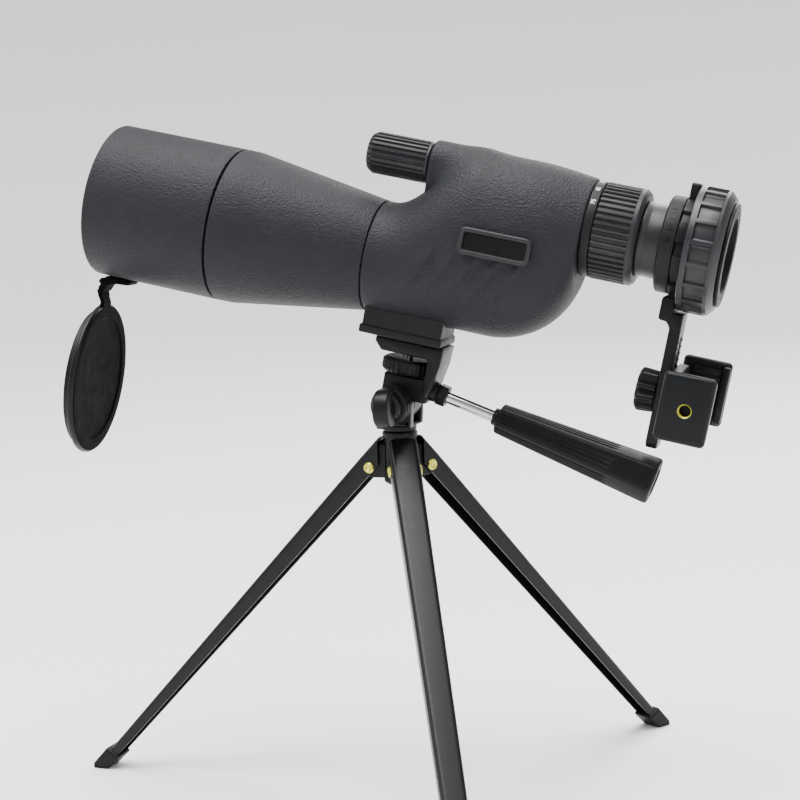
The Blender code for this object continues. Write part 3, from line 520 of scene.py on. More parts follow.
def build_cone():
    """The armoured cone, swelling to the hood's size, with the bare sleeve inside the hood."""
    front, shoulder, back = CONE_FRONT, 66.2, SEAM_BACK
    end_r = NECK_R + 0.2
    outline = [(back, end_r, 0.8), (74.0, HOOD_R - 0.2, 22.0), (shoulder, HOOD_R, 0.7),
               (shoulder, SLEEVE_R, 0), (front, SLEEVE_R, 0.5), (front, 32.6, 0.3), (36.3, 32.6, 0),
               (36.3, 30.0, 0), (60.0, 30.0, 0), (back, end_r - 2.4, 0)]
    cone = turned("objective_tube", outline, SCOPE, steps=160, parts=8)
    dress(cone, "armour", "scope_head", "front_tube", second="dark",
          inside=lambda c: c.x < shoulder + 0.1 and math.hypot(c.y, c.z) < SLEEVE_R + 0.4
          or math.hypot(c.y, c.z) < 24.0 or c.x < 60.0)


def ease(t):
    t = min(max(t, 0.0), 1.0)
    return (1.0 - math.cos(math.pi * t)) / 2.0


BODY_TOP = SHELL_HIGH.z
BODY_END = SHELL_HIGH.x
BODY_START = SHELL_LOW.x
BODY_HALF = 31.0
TAIL_S = 203.0
TAIL_U = 11.0
TAIL_LENGTH = 40.5
BLEND = 7.0                     # how softly the turret flows into the body
SWELL_S = 146.0                 # the housing grows out of its neck from here
FALL_S = 214.0                  # and its top drops towards the eyepiece from here
STRIPS = 5                      # slanted relief strips under the badge
STRIP_S = 178.0                 # the first one's crisp edge, at its upper end
STRIP_PITCH = 10.4
STRIP_WIDTH = 8.0
STRIP_LOW, STRIP_HIGH = -11.0, 12.5
STRIP_SLANT = 0.58              # forward for each millimetre down
STRIP_HEIGHT = 1.5


def body_oval(s):
    """Half width, middle height and half height of the housing's oval at a station."""
    rise = NECK_R + (BODY_TOP - NECK_R) * ease((s - SWELL_S) / 44.0)
    fall = max(s - FALL_S, 0.0) / (BODY_END - FALL_S)
    top = rise - 3.8 * fall ** 1.6
    t = min(max(s - TAIL_S, 0.0) / TAIL_LENGTH, 1.0)
    bottom = TAIL_U - (TAIL_U + NECK_R) * math.sqrt(1.0 - t * t)
    narrowing = 7.0 * (max(s - 210.0, 0.0) / 32.4) ** 2
    half = NECK_R + (BODY_HALF - NECK_R) * ease((s - SWELL_S) / 50.0) - narrowing
    return half, (top + bottom) / 2, (top - bottom) / 2


def feather(s, u):
    """Height of the slanted relief strips under the badge: a crisp edge that fades away behind."""
    if not STRIP_LOW < u < STRIP_HIGH:
        return 0.0
    total = 0.0
    for i in range(STRIPS):
        away = STRIP_S + STRIP_PITCH * i - (11.0 - u) * STRIP_SLANT - s
        if 0.0 < away < STRIP_WIDTH:
            fade = min((STRIP_HIGH - u) / 4.0, (u - STRIP_LOW) / 7.0, 1.0)
            total = max(total, min(away / 0.9, 1.0) * (1.0 - away / STRIP_WIDTH) * fade)
    return STRIP_HEIGHT * total


def housing_reach(s, angle):
    """Distance from the oval's middle to the skin of the body with its turret, along one ray."""
    half, middle, tall = body_oval(s)
    side, rise = math.sin(angle), math.cos(angle)

    def field(distance):
        y, z = distance * side, distance * rise
        body = (math.hypot(y / half, z / tall) - 1.0) * min(half, tall)
        if s < TURRET_FRONT:
            return body
        step = max(1.2 - (s - TURRET_FRONT), 0.0)
        radius = TURRET_R - 1.2 + math.sqrt(max(1.2 ** 2 - step * step, 0.0))
        radius -= 6.5 * ease((s - TURRET_FADE) / 34.0)
        turret = math.hypot(y, z + middle - TURRET_U) - radius - 0.9
        overlap = max(BLEND - abs(body - turret), 0.0) / BLEND
        return min(body, turret) - overlap * overlap * BLEND / 4 * ease((s - TURRET_FRONT) / 8.0)

    outer = distance = 70.0
    while distance > 0.0 and field(distance) > 0.0:
        outer = distance
        distance -= 1.0
    inner = distance
    for _ in range(18):
        middle_way = (outer + inner) / 2
        if field(middle_way) > 0.0:
            outer = middle_way
        else:
            inner = middle_way
    return inner, middle


def build_shell():
    """The prism housing, its turret blended in, with relief strips and a lip at each end."""
    steps = 176
    stations = [BODY_START + 0.05 * i for i in (0, 3, 6, 10, 16)]
    stations += [BODY_START + 1.6 + 1.1 * i for i in range(17)]
    stations += [TURRET_FRONT - 0.01, TURRET_FRONT, TURRET_FRONT + 0.15, TURRET_FRONT + 0.5,
                 TURRET_FRONT + 1.2]
    stations += [TURRET_FRONT + 2.2 + 0.8 * i for i in range(96)]
    stations = sorted(s for s in stations if s < BODY_END - 0.8)
    stations += [BODY_END - 0.7, BODY_END - 0.4, BODY_END - 0.15, BODY_END]
    rows = []
    for s in stations:
        lip = 0.6 * (max(1.0 - (s - BODY_START) / 0.8, 0.0) ** 2 + max(1.0 - (BODY_END - s) / 0.8, 0.0) ** 2)
        row = []
        for i in range(steps):
            angle = math.tau * i / steps
            reach, middle = housing_reach(s, angle)
            height = middle + reach * math.cos(angle)
            reach += feather(s, height) * (abs(math.sin(angle)) > 0.5) - lip
            row.append((s, reach * math.sin(angle), middle + reach * math.cos(angle)))
        rows.append(row)
    wall = 2.2
    _, end_middle, _ = body_oval(BODY_END)
    rim = [(BODY_END, y * 0.93, end_middle + (z - end_middle) * 0.93) for _, y, z in rows[-1]]
    hole, hole_in = (oval(s, EYE_BORE, EYE_U, EYE_BORE, steps) for s in (BODY_END, BODY_END - 2.4))
    inner = []
    for s in (BODY_END - 2.4, 236.0, 228.0, 216.0, 204.0, 190.0, 176.0, 164.0, 152.0, BODY_START):
        half, middle, tall = body_oval(s)
        inner.append(oval(s, half - wall, middle, tall - wall, steps))
    bm, _ = skin(rows + [rim, hole, hole_in] + inner, closed=True)
    shell = to_object("body_shell", bm, SCOPE, 50.0)
    dress(shell, "armour", "scope_head", "prism_housing")


def build_badge():
    """The blank badge: a rounded bezel round a sunken glossy plate."""
    low, high = span("badge")
    half_l, half_h = (high.x - low.x) / 2 + 1.2, (high.z - low.z) / 2 + 0.8
    matrix = moved(SCOPE, (low.x + high.x) / 2, low.y, (low.z + high.z) / 2) @ UPRIGHT
    outer = rounded([(-half_l, -half_h), (half_l, -half_h), (half_l, half_h), (-half_l, half_h)], 3.6,
                    parts=8)
    inner = inset(outer, 2.2)
    bezel = plate("badge_bezel", [outer, inner], -2.6, 1.2, matrix, 0.8)
    dress(bezel, "grip", "scope_head", "badge")
    back = plate("badge_inset", [inset(inner, -0.4)], -1.8, 0.15, matrix, 0.1)
    dress(back, "inset", "scope_head")


def build_focus_knob():
    front, back, radius = round_span("focus_knob")
    outline = [(back, 0, 0), (back, radius - 1.2, 0.3), (back - 0.7, radius - 0.2, 0.3),
               (back - 1.8, radius - 0.2, 0.2), (back - 2.0, radius, 0.3, 1.0),
               (front + 2.6, radius, 0.9, 1.0), (front, radius - 1.6, 0.9, 0.1), (front, 7.0, 0.3),
               (front + 0.5, 6.6, 0.3), (front + 0.5, 0, 0)]
    count = 24
    knob = turned("focus_grip", outline, SCOPE, TURRET_U, count * 12, ribs(count, 1.0, 0.50))
    dress(knob, "grip", "focus_knob", "focus_knob")


def wrapped(name, flat, radius, turn, along, lift=EYE_U):
    """Wrap a flat piece round the eyepiece: x runs round the ring, y forwards, and z stands off it."""
    for vert in flat.data.vertices:
        x, y, z = vert.co / MM
        angle = math.radians(turn) + x / radius
        reach = radius + z
        vert.co = Vector((along - y, reach * math.sin(angle), lift + reach * math.cos(angle))) * MM
    flat.name = name
    flat.matrix_world = SCOPE
    return flat


def numeral(text, size):
    """A number as a thin flat mesh, centred on the origin."""
    curve = bpy.data.curves.new("numeral", "FONT")
    curve.body = text
    curve.size = size * MM
    curve.extrude = 0.05 * MM
    curve.align_x = "CENTER"
    curve.align_y = "CENTER"
    holder = place("numeral", curve)
    mesh = evaluated(holder)
    bpy.data.objects.remove(holder, do_unlink=True)
    return place("numeral", mesh)


def build_zoom():
    """The scale band with plain numerals, and the ribbed grip behind it."""
    front, back, radius = round_span("zoom_scale_ring")
    outline = [(back, radius), (front, radius), (front, EYE_BORE, 0), (back, EYE_BORE, 0)]
    band = turned("scale_band", outline, SCOPE, EYE_U, 128, radius=0.35)
    dress(band, "soft_plastic", "zoom_ring", "zoom_scale_ring")
    first_turn, turn_step = -53, 22
    for i, text in enumerate(("75", "65", "55", "45", "35", "25")):
        turn = first_turn + turn_step * i
        mark = wrapped("scale_number_" + text, numeral(text, 2.9), radius, turn, (front + back) / 2)
        dress(mark, "ink", "zoom_ring")
    front, back, reach = round_span("zoom_grip")
    outline = [(back, reach - 1.6, 0.4), (back - 1.6, reach - 0.1, 0.4), (back - 3.4, reach - 0.1, 0.2),
               (back - 3.7, reach, 0.2, 1.0), (front + 0.5, reach, 0.3, 1.0), (front, reach - 0.6, 0.2, 0.3),
               (front, EYE_BORE, 0), (back, EYE_BORE, 0)]
    count = 46
    grip = turned("zoom_ribs", outline, SCOPE, EYE_U, count * 10, ribs(count, 1.2, 0.46), parts=3)
    dress(grip, "grip", "zoom_ring", "zoom_grip")


def build_eyepiece():
    """The satin barrel with its waist, and the soft eyecup."""
    front, back, radius = round_span("eyepiece_barrel")
    outline = [(back, radius - 0.5, 0.4), (276.0, radius - 0.5, 2.0), (271.5, radius - 0.7, 2.0),
               (front + 1.0, radius, 1.0), (front, radius, 0.3), (front, EYE_BORE, 0), (back, EYE_BORE, 0)]
    barrel = turned("eyepiece_shell", outline, SCOPE, EYE_U, 128, parts=8)
    dress(barrel, "anodised", "scope_head", "eyepiece_barrel")
    front, back, radius = round_span("eyecup")
    outline = [(back, radius - 0.4, 1.0), (front + 1.2, radius, 0.3), (front, radius - 0.3, 0.2),
               (front, EYE_BORE, 0), (back - 1.4, EYE_BORE, 0.2), (back, EYE_BORE + 0.9, 0.6)]
    dress(turned("soft_eyecup", outline, SCOPE, EYE_U, 128), "rubber", "scope_head", "eyecup")
    front, back, radius = round_span("eyepiece_tube")
    outline = [(back, radius - 0.5, 0.3), (back - 1, radius, 0.3), (front, radius, 0.3), (front, 12.5, 0),
               (back - 1.2, 12.5, 0.2), (back, 13.4, 0.3)]
    dress(turned("inner_tube", outline, SCOPE, EYE_U), "anodised", "scope_head", "eyepiece_tube")


def build_mount_foot():
    """The block under the body that stands on the platform, on its rim, shaped to the housing and bored for
    the socket.
    """
    low, high = span("mount_foot")
    flange = low.z + 4.2
    block = lump("foot_block", (low.x + 1.0, -13.4, flange - 1.5), (high.x - 0.8, 13.4, -16.0), 1.0, SCOPE)
    rim = lump("foot_rim", (low.x, low.y, low.z), (high.x, high.y, flange), 0.9, SCOPE)
    merged(block, rim)
    rows = []
    for i in range(36):
        s = 139.0 + i * 1.5
        half, middle, tall = body_oval(s)
        rows.append(oval(s, half + 0.25, middle, tall + 0.25, 64))
    cutter = to_object("foot_saddle", capped(rows), SCOPE)
    bush = bore("foot_socket", -28.4, -40, 5.3, along_z(SCOPE, PIVOT_S))
    bored(block, cutter, bush)
    dress(block, "soft_plastic", "scope_head", "mount_foot")


# ---- lens cap ----

def build_cap():
    """The cap, a plug behind a flat skirt with a raised rim, hanging on its curved rubber strap."""
    low, high = span("lens_cap", CAP)
    radius = high.y
    centre = high.z - radius
    back = high.x
    face = back - 3.2
    outline = [(back - 0.9, 0, 0), (back - 0.9, radius - 7.6, 1.0), (back, radius - 6.8, 0.5),
               (back, radius - 1.2, 0.9), (back - 1.4, radius, 0.9), (face, radius, 0.6), (face, 35.2, 0.4),
               (low.x, 35.0, 0.6), (low.x, 33.2, 0.5), (face + 0.6, 33.4, 0.8), (face + 0.6, 0, 0)]
    cap = turned("cap_disc", outline, CAP, centre, 160)
    dress(cap, "cap", "lens_cap", "lens_cap", second="cap_face",
          inside=lambda c: c.x > back - 1.2 and math.hypot(c.y, c.z - centre) < radius - 1.0)
    path = rounded([(back - 1.4, centre + radius - 2.0), (back - 1.2, centre + radius + 1.2, 3.0),
                    (1.3, -3.6, 3.0), (0.2, 0.1)], 1.0, closed=False, parts=8)
    thick = 1.15
    rows = []
    for i, (x, z, _) in enumerate(path):
        t = i / (len(path) - 1)
        half = 5.6 - 0.9 * math.sin(math.pi * t)
        rows.append([(x - thick, -half, z), (x, -half - 0.3, z), (x + thick, -half, z),
                     (x + thick, half, z), (x, half + 0.3, z), (x - thick, half, z)])
    strap = to_object("cap_strap_band", capped(rows), CAP)
    dress(strap, "cap_face", "lens_cap", "cap_strap")
    lug = rounded([(17.8, -38.55, 0.2), (16.2, -41.0, 1.2), (9.0, -41.6, 4.0), (4.6, -43.0, 3.0),
                   (2.6, -47.2, 0.9), (0.0, -47.2, 0.9), (0.1, -44.6, 2.0), (1.0, -43.0, 0.6),
                   (-0.5, -42.0, 0.9), (0.6, -40.0, 1.0), (3.2, -39.6, 0.8), (3.4, -38.55, 0.2)], 0.5)
    dress(plate("strap_anchor", [lug], -5.5, 5.5, SCOPE @ UPRIGHT, 0.6), "cap_face", "sunshade", "strap_lug")


# ---- phone adapter ----

def build_collar():
    """The collar on the eyepiece with its sleeve, and small raised arrow marks."""
    front, back, radius = round_span("adapter_collar")
    bore_r, sleeve_r, step = 17.8, 20.3, 285.6
    outline = [(back, sleeve_r, 0.4), (step, sleeve_r, 0), (step, radius, 0.4), (front + 0.8, radius, 0.8),
               (front, radius - 1.2, 0.5), (front, bore_r, 0.2), (back, bore_r, 0.3)]
    dress(turned("collar", outline, SCOPE, EYE_U, 128), "soft_plastic", "adapter", "adapter_collar")
    arrow = rounded([(-1.5, -1.3), (1.5, 0.0), (-1.5, 1.3), (-1.1, 0.0)], 0.1)
    for i, turn in enumerate((-38, -52, -66, -80)):
        mark = plate("arrow", [arrow], -0.1, 0.18, SCOPE, 0.05, 1)
        wrapped("collar_arrow_%d" % i, mark, radius, turn, 282.4)
        dress(mark, "plastic", "adapter")


def build_arm():
    """The ring with lugs, its top tab, and the slotted arm with serrations down its rear face."""
    low, high = span("adapter_arm")
    front, back = 285.9, 290.3
    face = SCOPE @ FACING
    centre = (0, EYE_U)
    loop = []
    for turn in range(0, 360, 40):
        loop += circle(23.6, 7, centre, turn - 12, 24)
        loop += circle(21.9, 5, centre, turn + 14, 12)
    hole = circle(20.6, 96, centre)
    ring = plate("arm_ring", [loop, hole], front, back, face, 0.45)
    tab_loop = rounded([(-5, EYE_U + 20.9, 0), (-4.6, high.z, 1.6), (4.6, high.z, 1.6),
                        (5, EYE_U + 20.9, 0)], 1)
    tab = plate("arm_tab", [tab_loop], front + 0.06, back - 0.04, face, 0.7)
    neck_loop = rounded([(-8.5, -0.6), (8.5, -0.6), (7.2, 12.6), (-7.2, 12.6)], 1.2)
    neck = plate("arm_neck", [neck_loop], front + 0.03, back - 0.07, face, 0.5)
    hook = rounded([(283.6, 10.1, 2.0), (290.0, 10.1, 0.3), (290.0, 3.1, 0.5), (295.1, 3.1, 0.5),
                    (295.1, -8.0, 0), (289.7, -8.0, 0), (289.5, -4.0, 2.5), (287.6, -1.6, 1.2),
                    (283.6, -1.2, 1.6)], 1.0)
    shelf = plate("arm_hook", [hook], -8.4, 8.4, SCOPE @ UPRIGHT, 0.8)
    blade_loop = rounded([(-8.5, -4.0, 0), (8.5, -4.0, 0), (8.5, low.z + 3.0, 1.2), (5.6, low.z, 1.2),
                          (-5.6, low.z, 1.2), (-8.5, low.z + 3.0, 1.2)], 1.0)
    slot_loop = rounded([(-2.6, -7.0), (2.6, -7.0), (2.6, low.z + 5.5), (-2.6, low.z + 5.5)], 2.5)
    blade = plate("arm_blade", [blade_loop, slot_loop], 289.6, 295.2, face, 0.7)
    dress(merged(ring, tab, neck), "clamp", "adapter", "adapter_arm")
    dress(shelf, "clamp", "adapter")
    dress(blade, "clamp", "adapter")
    bm = bmesh.new()
    for i in range(14):
        height = -10.0 - 3.2 * i
        for y in (-5.7, 5.7):
            tooth = lump("tooth", (294.9, y - 1.6, height - 0.5), (295.55, y + 1.6, height + 0.5), 0.25,
                         SCOPE, 2)
            bm.from_mesh(tooth.data)
            bpy.data.objects.remove(tooth, do_unlink=True)
    dress(to_object("arm_serrations", bm, SCOPE), "clamp", "adapter")


def build_ring_nut():
    """The big nut: deep rectangular pockets between square ribs, and a chamfered rear rim."""
    front, back, radius = round_span("ring_nut")
    bore_r, rim_r = 20.6, 24.0
    outline = [(back, rim_r, 0), (back, radius - 3.4, 0.5), (back - 2.6, radius - 0.5, 0.5),
               (back - 4.0, radius - 0.4, 0.2), (back - 4.1, radius, 0.1, 1.0),
               (front + 3.1, radius, 0.1, 1.0), (front + 3.0, radius - 0.4, 0.2),
               (front + 0.3, radius - 0.4, 0.4), (front, radius - 1.0, 0.3), (front, bore_r, 0.1),
               (back - 0.8, bore_r, 0.1), (back - 0.8, rim_r, 0)]
    count, depth = 18, 1.7
    nut = turned("nut_shell", outline, SCOPE, EYE_U, count * 22, ribs(count, depth, 0.24, 0.07), parts=2)
    dress(nut, "satin", "ring_nut", "ring_nut")
    front, back, radius = round_span("adapter_pad")
    outline = [(back, radius, 0.5), (front, radius, 0.3), (front, bore_r, 0.1), (back, bore_r, 0.4)]
    dress(turned("face_pad", outline, SCOPE, EYE_U), "rubber", "adapter", "adapter_pad")


def build_lock_knob():
    """The fluted knob with a domed face, and its threaded bolt."""
    low, high = span("lock_knob")
    radius = (high.y - low.y) / 2
    middle = (high.z + low.z) / 2
    front, back = low.x, 289.3
    outline = [(back, 0, 0), (back, radius - 0.6, 0.6, 1.0), (front + 1.2, radius, 1.4, 1.0),
               (front, radius - 2.4, 1.0, 0.4), (front, 5.4, 0.4), (front + 0.8, 4.8, 0.4),
               (front + 0.8, 0, 0)]

    def flutes(angle):
        return 2.3 * (0.5 - 0.5 * math.cos(10 * angle)) ** 1.3

    knob = turned("knob_fluted", outline, SCOPE, middle, 160, flutes, parts=5)
    dress(knob, "plastic", "lock_knob", "lock_knob")
    thread = [(high.x, 0), (high.x, 1.8)]
    for i in reversed(range(13)):
        thread += [(back + 0.8 * i + 0.4, 2.1), (back + 0.8 * i, 1.8)]
    bolt = lathe("knob_bolt", thread + [(back - 1.0, 0)], SCOPE, middle, 32)
    dress(bolt, "chrome", "lock_knob")


def build_clamp():
    """The fixed jaw block and spine, the sliding jaw with its ribbed pad, and the threaded insert."""
    low, high = span("clamp_base")
    jaw_low, jaw_high = span("sliding_jaw")
    wall, lip_s = 5.0, 315.5
    inner_s = low.x + wall
    near = low.y + wall
    block = lump("clamp_block", (low.x, low.y, low.z), (high.x, near, high.z), 2.45, SCOPE, 5)
    spine = lump("clamp_spine", (low.x + 0.04, low.y + 2.5, low.z + 3), (inner_s, 12.0, high.z - 3), 0.9,
                 SCOPE)
    lip = lump("clamp_lip", (lip_s, low.y + 2.2, low.z + 2), (high.x - 0.3, near + 4.0, high.z - 2), 1.2,
               SCOPE)
    merged(block, spine, lip)
    insert_s, insert_u = 307.7, -35.7
    insert = moved(along_y(SCOPE, insert_s, insert_u), -low.y, 0, 0)
    hole = lathe("insert_bore", [(8.0, 0), (8.0, 3.3), (-0.8, 3.3), (-0.8, 3.6), (-8.0, 3.6), (-8.0, 0)],
                 insert, steps=48)
    bolt = bore("bolt_bore", 306, 288, 2.4, SCOPE, lift=-36.0)
    rods = [bore("rod_bore", 16, -40, 1.5, along_y(SCOPE, low.x + 2.6, u), 24) for u in (-25.5, -46.5)]
    bored(block, hole, bolt, *rods)
    dress(block, "clamp", "clamp", "clamp_base")
    thread = [(-0.85, 3.55, 0), (-0.85, 3.1, 0)]
    for i in range(5):
        thread += [(-1.2 - 0.7 * i, 2.75, 0), (-1.55 - 0.7 * i, 3.05, 0)]
    thread += [(-4.7, 3.05, 0), (-4.7, 3.55, 0)]
    dress(lathe("threaded_insert", thread, insert, steps=64), "brass", "clamp", "clamp_insert")
    jaw = lump("jaw_block", (jaw_low.x, jaw_high.y - wall, jaw_low.z), jaw_high, 2.4, SCOPE, 5)
    jaw_lip = lump("jaw_lip_block", (lip_s, jaw_low.y, jaw_low.z + 2),
                   (high.x - 0.3, jaw_high.y - 2.2, jaw_high.z - 2), 1.2, SCOPE)
    dress(merged(jaw, jaw_lip), "clamp", "sliding_jaw", "sliding_jaw")
    for name, node, body in (("jaw_grip", "jaw_pad", "sliding_jaw"), ("clamp_grip", "clamp_pad", "clamp")):
        low, high = span(node)
        count = 8
        pitch = (high.z - low.z) / count
        face = low.y if body == "sliding_jaw" else high.y
        strips = []
        for i in range(count):
            z = low.z + pitch * (i + 0.5)
            strips.append(lump("strip", (low.x + 0.6, face - 0.45, z - pitch * 0.28),
                               (high.x - 0.6, face + 0.45, z + pitch * 0.28), 0.3, SCOPE, 2))
        dress(merged(lump(name, low, high, 0.3, SCOPE, 2), *strips), "rubber", body, node)


# ---- pan and tilt head ----

def build_bracket():
    """The C-shaped bracket: platform, side hook, tilting barrel and the handle's socket."""
    hook = rounded([(151.5, -36.9, 0.8), (186.0, -36.9, 0.8), (185.4, -46.0, 3.0), (183.4, -57.0, 2.0),
                    (181.5, -61.5, 0.9), (178.9, -61.5, 0.9), (178.9, -43.6, 1.8), (155.0, -43.6, 1.8),
                    (151.2, -39.4, 1.6)], 1.0)
    bracket = plate("bracket", [hook], -11.0, 11.0, SCOPE @ UPRIGHT, 1.1, 4)
    barrel_r, half = 9.3, 6.7
    outline = [(half, 0, 0), (half, barrel_r, 0.5), (-half, barrel_r, 0.5), (-half, 0, 0)]
    barrel = turned("bracket_barrel", outline, along_y(TILT))
    web = lump("bracket_web", (157.5, -6.5, -66.0), (181.1, 6.5, -54.1), 1.3, SCOPE)
    socket = turned("bracket_socket", [(0, 0, 0), (0, 5.0, 0.8), (-5.2, 5.2, 0), (-5.2, 0, 0)], HANDLE,
                    steps=64)
    merged(bracket, barrel, web, socket)
    stud = bore("stud_bore", -35, -45, 3.4, along_z(SCOPE, PIVOT_S), 40)
    bolt = bore("bolt_bore", 12, -12, 2.2, along_y(TILT))
    rod = bore("rod_bore", 10, -12, 3.3, HANDLE, 40)
    bored(bracket, stud, bolt, rod)
    dress(bracket, "plastic", "scope_head", "tilt_bracket")


def build_wheel():
    """The ribbed tightening wheel, and the threaded camera screw standing on it."""
    low, high = span("screw_wheel")
    radius = (high.y - low.y) / 2
    wheel_top = low.z + 7.4
    outline = [(wheel_top, 0, 0), (wheel_top, radius - 1.8, 0.6), (wheel_top - 1.2, radius - 0.3, 0.4, 0.6),
               (wheel_top - 1.5, radius, 0.3, 1.0), (low.z + 1.5, radius, 0.4, 1.0),
               (low.z, radius - 1.4, 0.6, 0.3), (low.z, 0, 0)]
    count = 26
    wheel = turned("tightening_wheel", outline, along_z(SCOPE, PIVOT_S), 0.0, count * 10,
                   ribs(count, 0.7, 0.5))
    dress(wheel, "plastic", "screw_wheel", "screw_wheel")
    thread = [(high.z, 0), (high.z, 2.3), (high.z - 0.7, 2.9)]
    pitch = 1.27
    for i in range(9):
        thread += [(high.z - 0.9 - pitch * i, 2.6), (high.z - 1.5 - pitch * i, 3.0)]
    thread += [(wheel_top - 1.0, 2.6), (wheel_top - 1.0, 0)]
    dress(lathe("camera_screw", thread, along_z(SCOPE, PIVOT_S), steps=48), "chrome", "screw_wheel")


EAR_NEAR = 13.0                 # the near ear is this far out, and a round drum stands on it


def build_yoke():
    """The turning neck with two round ears; the near one carries a drum with two raised beads."""
    low, high = span("pan_yoke", LEVEL)
    ear_r, base_r = 9.3, 8.4
    bottom = low.z
    outline = [(bottom + 3.2, 0, 0), (bottom + 3.2, base_r, 0.3), (bottom, base_r, 0.6), (bottom, 0, 0)]
    neck = turned("yoke", outline, along_z(LEVEL, -0.7))
    foot = lump("yoke_foot", (-base_r - 0.6, -EAR_NEAR, bottom + 2.0), (base_r - 0.8, high.y, bottom + 4.4),
                0.8, LEVEL)
    outline = circle(ear_r, 33, (0, 0), -12, 204)
    outline += rounded([(-ear_r, -4.0, 0), (-ear_r + 0.8, bottom + 2.4, 0.8),
                        (ear_r - 0.8, bottom + 2.4, 0.8), (ear_r, -4.0, 0)], 0.6)[2:-2]
    near = plate("near_ear", [outline], 7.0, EAR_NEAR, LEVEL @ UPRIGHT, 0.9, 4)
    drum_r = ear_r - 0.15
    drum = turned("near_drum", [(-low.y, 0, 0), (-low.y, drum_r, 0.9), (EAR_NEAR - 0.9, drum_r, 0),
                                (EAR_NEAR - 0.9, 0, 0)], along_y(LEVEL))
    far = plate("far_ear", [outline], -high.y, -7.0, LEVEL @ UPRIGHT, 0.9, 4)
    merged(neck, foot, near, far, drum)
    bored(neck, bore("yoke_bolt_bore", 25, -25, 2.2, along_y(LEVEL)))
    dress(neck, "plastic", "pan_head", "pan_yoke")
    for i, x in enumerate((14.6, 18.4)):
        bead_r = ear_r + 0.28
        band = [(x + 0.45, drum_r, 0.2), (x + 0.45, bead_r, 0.2), (x - 0.45, bead_r, 0.2),
                (x - 0.45, drum_r, 0.2)]
        dress(turned("ear_bead_%d" % i, band, along_y(LEVEL)), "plastic", "pan_head")


def build_tilt_knob():
    """The locking knob: a domed disc with a rounded finger bar, on its chromed bolt."""
    reach = -span("tilt_knob", TILT)[0].y
    outline = [(26.2, 0, 0), (26.2, 5.6, 1.2), (25.2, 7.1, 0.9), (22.2, 7.1, 0.5), (21.4, 6.3, 0.4),
               (21.4, 0, 0)]
    knob = turned("knob_disc", outline, along_y(TILT))
    half_w, half_h, bulge = 3.9, 9.2, 9.0
    start = reach - bulge
    bar_loop = [(-21.9, -half_h)]
    for degrees in range(-90, 91, 9):
        a = math.radians(degrees)
        bar_loop.append((-start - bulge * math.cos(a), half_h * math.sin(a)))
    bar_loop.append((-21.9, half_h))
    bar = plate("knob_bar", [bar_loop], -half_w, half_w, LEVEL @ FACING, 1.3, 5)
    dress(merged(knob, bar), "plastic", "tilt_knob", "tilt_knob")
    outline = [(22.0, 0, 0), (22.0, 1.9, 0), (-6.0, 1.9, 0.4), (-6.0, 0, 0)]
    bolt = turned("knob_axle", outline, along_y(TILT), steps=32)
    dress(bolt, "chrome", "tilt_knob")


def build_handle():
    """The chrome rod with its hexagonal collar, and the long six-sided fluted grip with a ferrule."""
    low, high = span("handle_rod", HANDLE)
    grip_low, grip_high = span("handle_grip", HANDLE)
    outline = [(high.x, 0, 0), (high.x, 3.1, 0.3), (low.x, 3.1, 0.4), (low.x, 0, 0)]
    rod = turned("chrome_rod", outline, HANDLE, steps=64)
    dress(rod, "chrome", "handle", "handle_rod")
    collar = plate("hex_collar", [circle(5.6, 6), circle(3.15, 32)], 0.3, 5.3, HANDLE @ FACING, 0.5)
    dress(collar, "plastic", "handle")
    start, end = grip_low.x, grip_high.x
    length = end - start
    large, small = 11.9, 7.7
    flutes_end = end - 22.0
    corner, facet_angle, softened = 255, 60, 26.0       # degrees; each corner is rounded past the last
    flat = math.cos(math.radians(facet_angle / 2))
    steps = 288
    stations = [0.0, 0.5, 1.0, 2.2, 3.4] + [5.0 + 2.0 * i for i in range(37)] + [79.4, 80.4, 81.0, 81.4]
    rows = [oval(start + 19.0, 0.02, 0, 0.02, steps), oval(start + 19.0, 3.4, 0, 3.4, steps),
            oval(start, 3.4, 0, 3.4, steps)]
    for station in [s for s in stations if s < length] + [length]:
        x = start + station
        taper = small + (large - small) * station / length
        for radius, away in ((2.0, length - station), (1.6, station)):
            taper -= radius - math.sqrt(radius ** 2 - max(radius - away, 0.0) ** 2)
        depth = 0.0 if x > flutes_end else min(1.0, (flutes_end - x) / 2.0) ** 0.5
        row = []
        for i in range(steps):
            angle = math.tau * i / steps
            across = (math.degrees(angle) - corner) % facet_angle - facet_angle / 2
            facet = flat / math.cos(math.radians(min(abs(across), softened)))
            flute = sum(max(1.0 - ((across - middle) / 4.2) ** 2, 0.0) ** 0.6 for middle in (-13, 0, 13))
            reach = max(taper * (0.25 + 0.75 * facet) - 0.6 * depth * flute, 3.5)
            row.append((x, reach * math.sin(angle), reach * math.cos(angle)))
        rows.append(row)
    for x, radius in ((end - 0.01, large - 4.4), (end - 0.7, large - 4.8), (end - 0.7, 0.02)):
        rows.append(oval(x, radius, 0, radius, steps))
    dress(to_object("fluted_grip", capped(rows), HANDLE, 40), "handle_rubber", "handle", "handle_grip")
    ferrule = [(start - 0.2, 3.5, 0.2), (start - 0.2, 4.6, 0.3), (start - 2.4, 4.2, 0.5),
               (start - 2.4, 3.2, 0.2)]
    dress(turned("grip_ferrule", ferrule, HANDLE, steps=64), "plastic", "handle")


# ---- tripod ----
LEGS = ("front", "right", "left")
SPLAY = math.atan2(178.6 - 14.2, 171.4)     # from the radii of the feet and pivots, and the pivots' height
LEG_LENGTH = 223.2              # pivot to the foot
LEG_IN_FOOT = 4.5               # the channel runs this far on, into its rubber foot


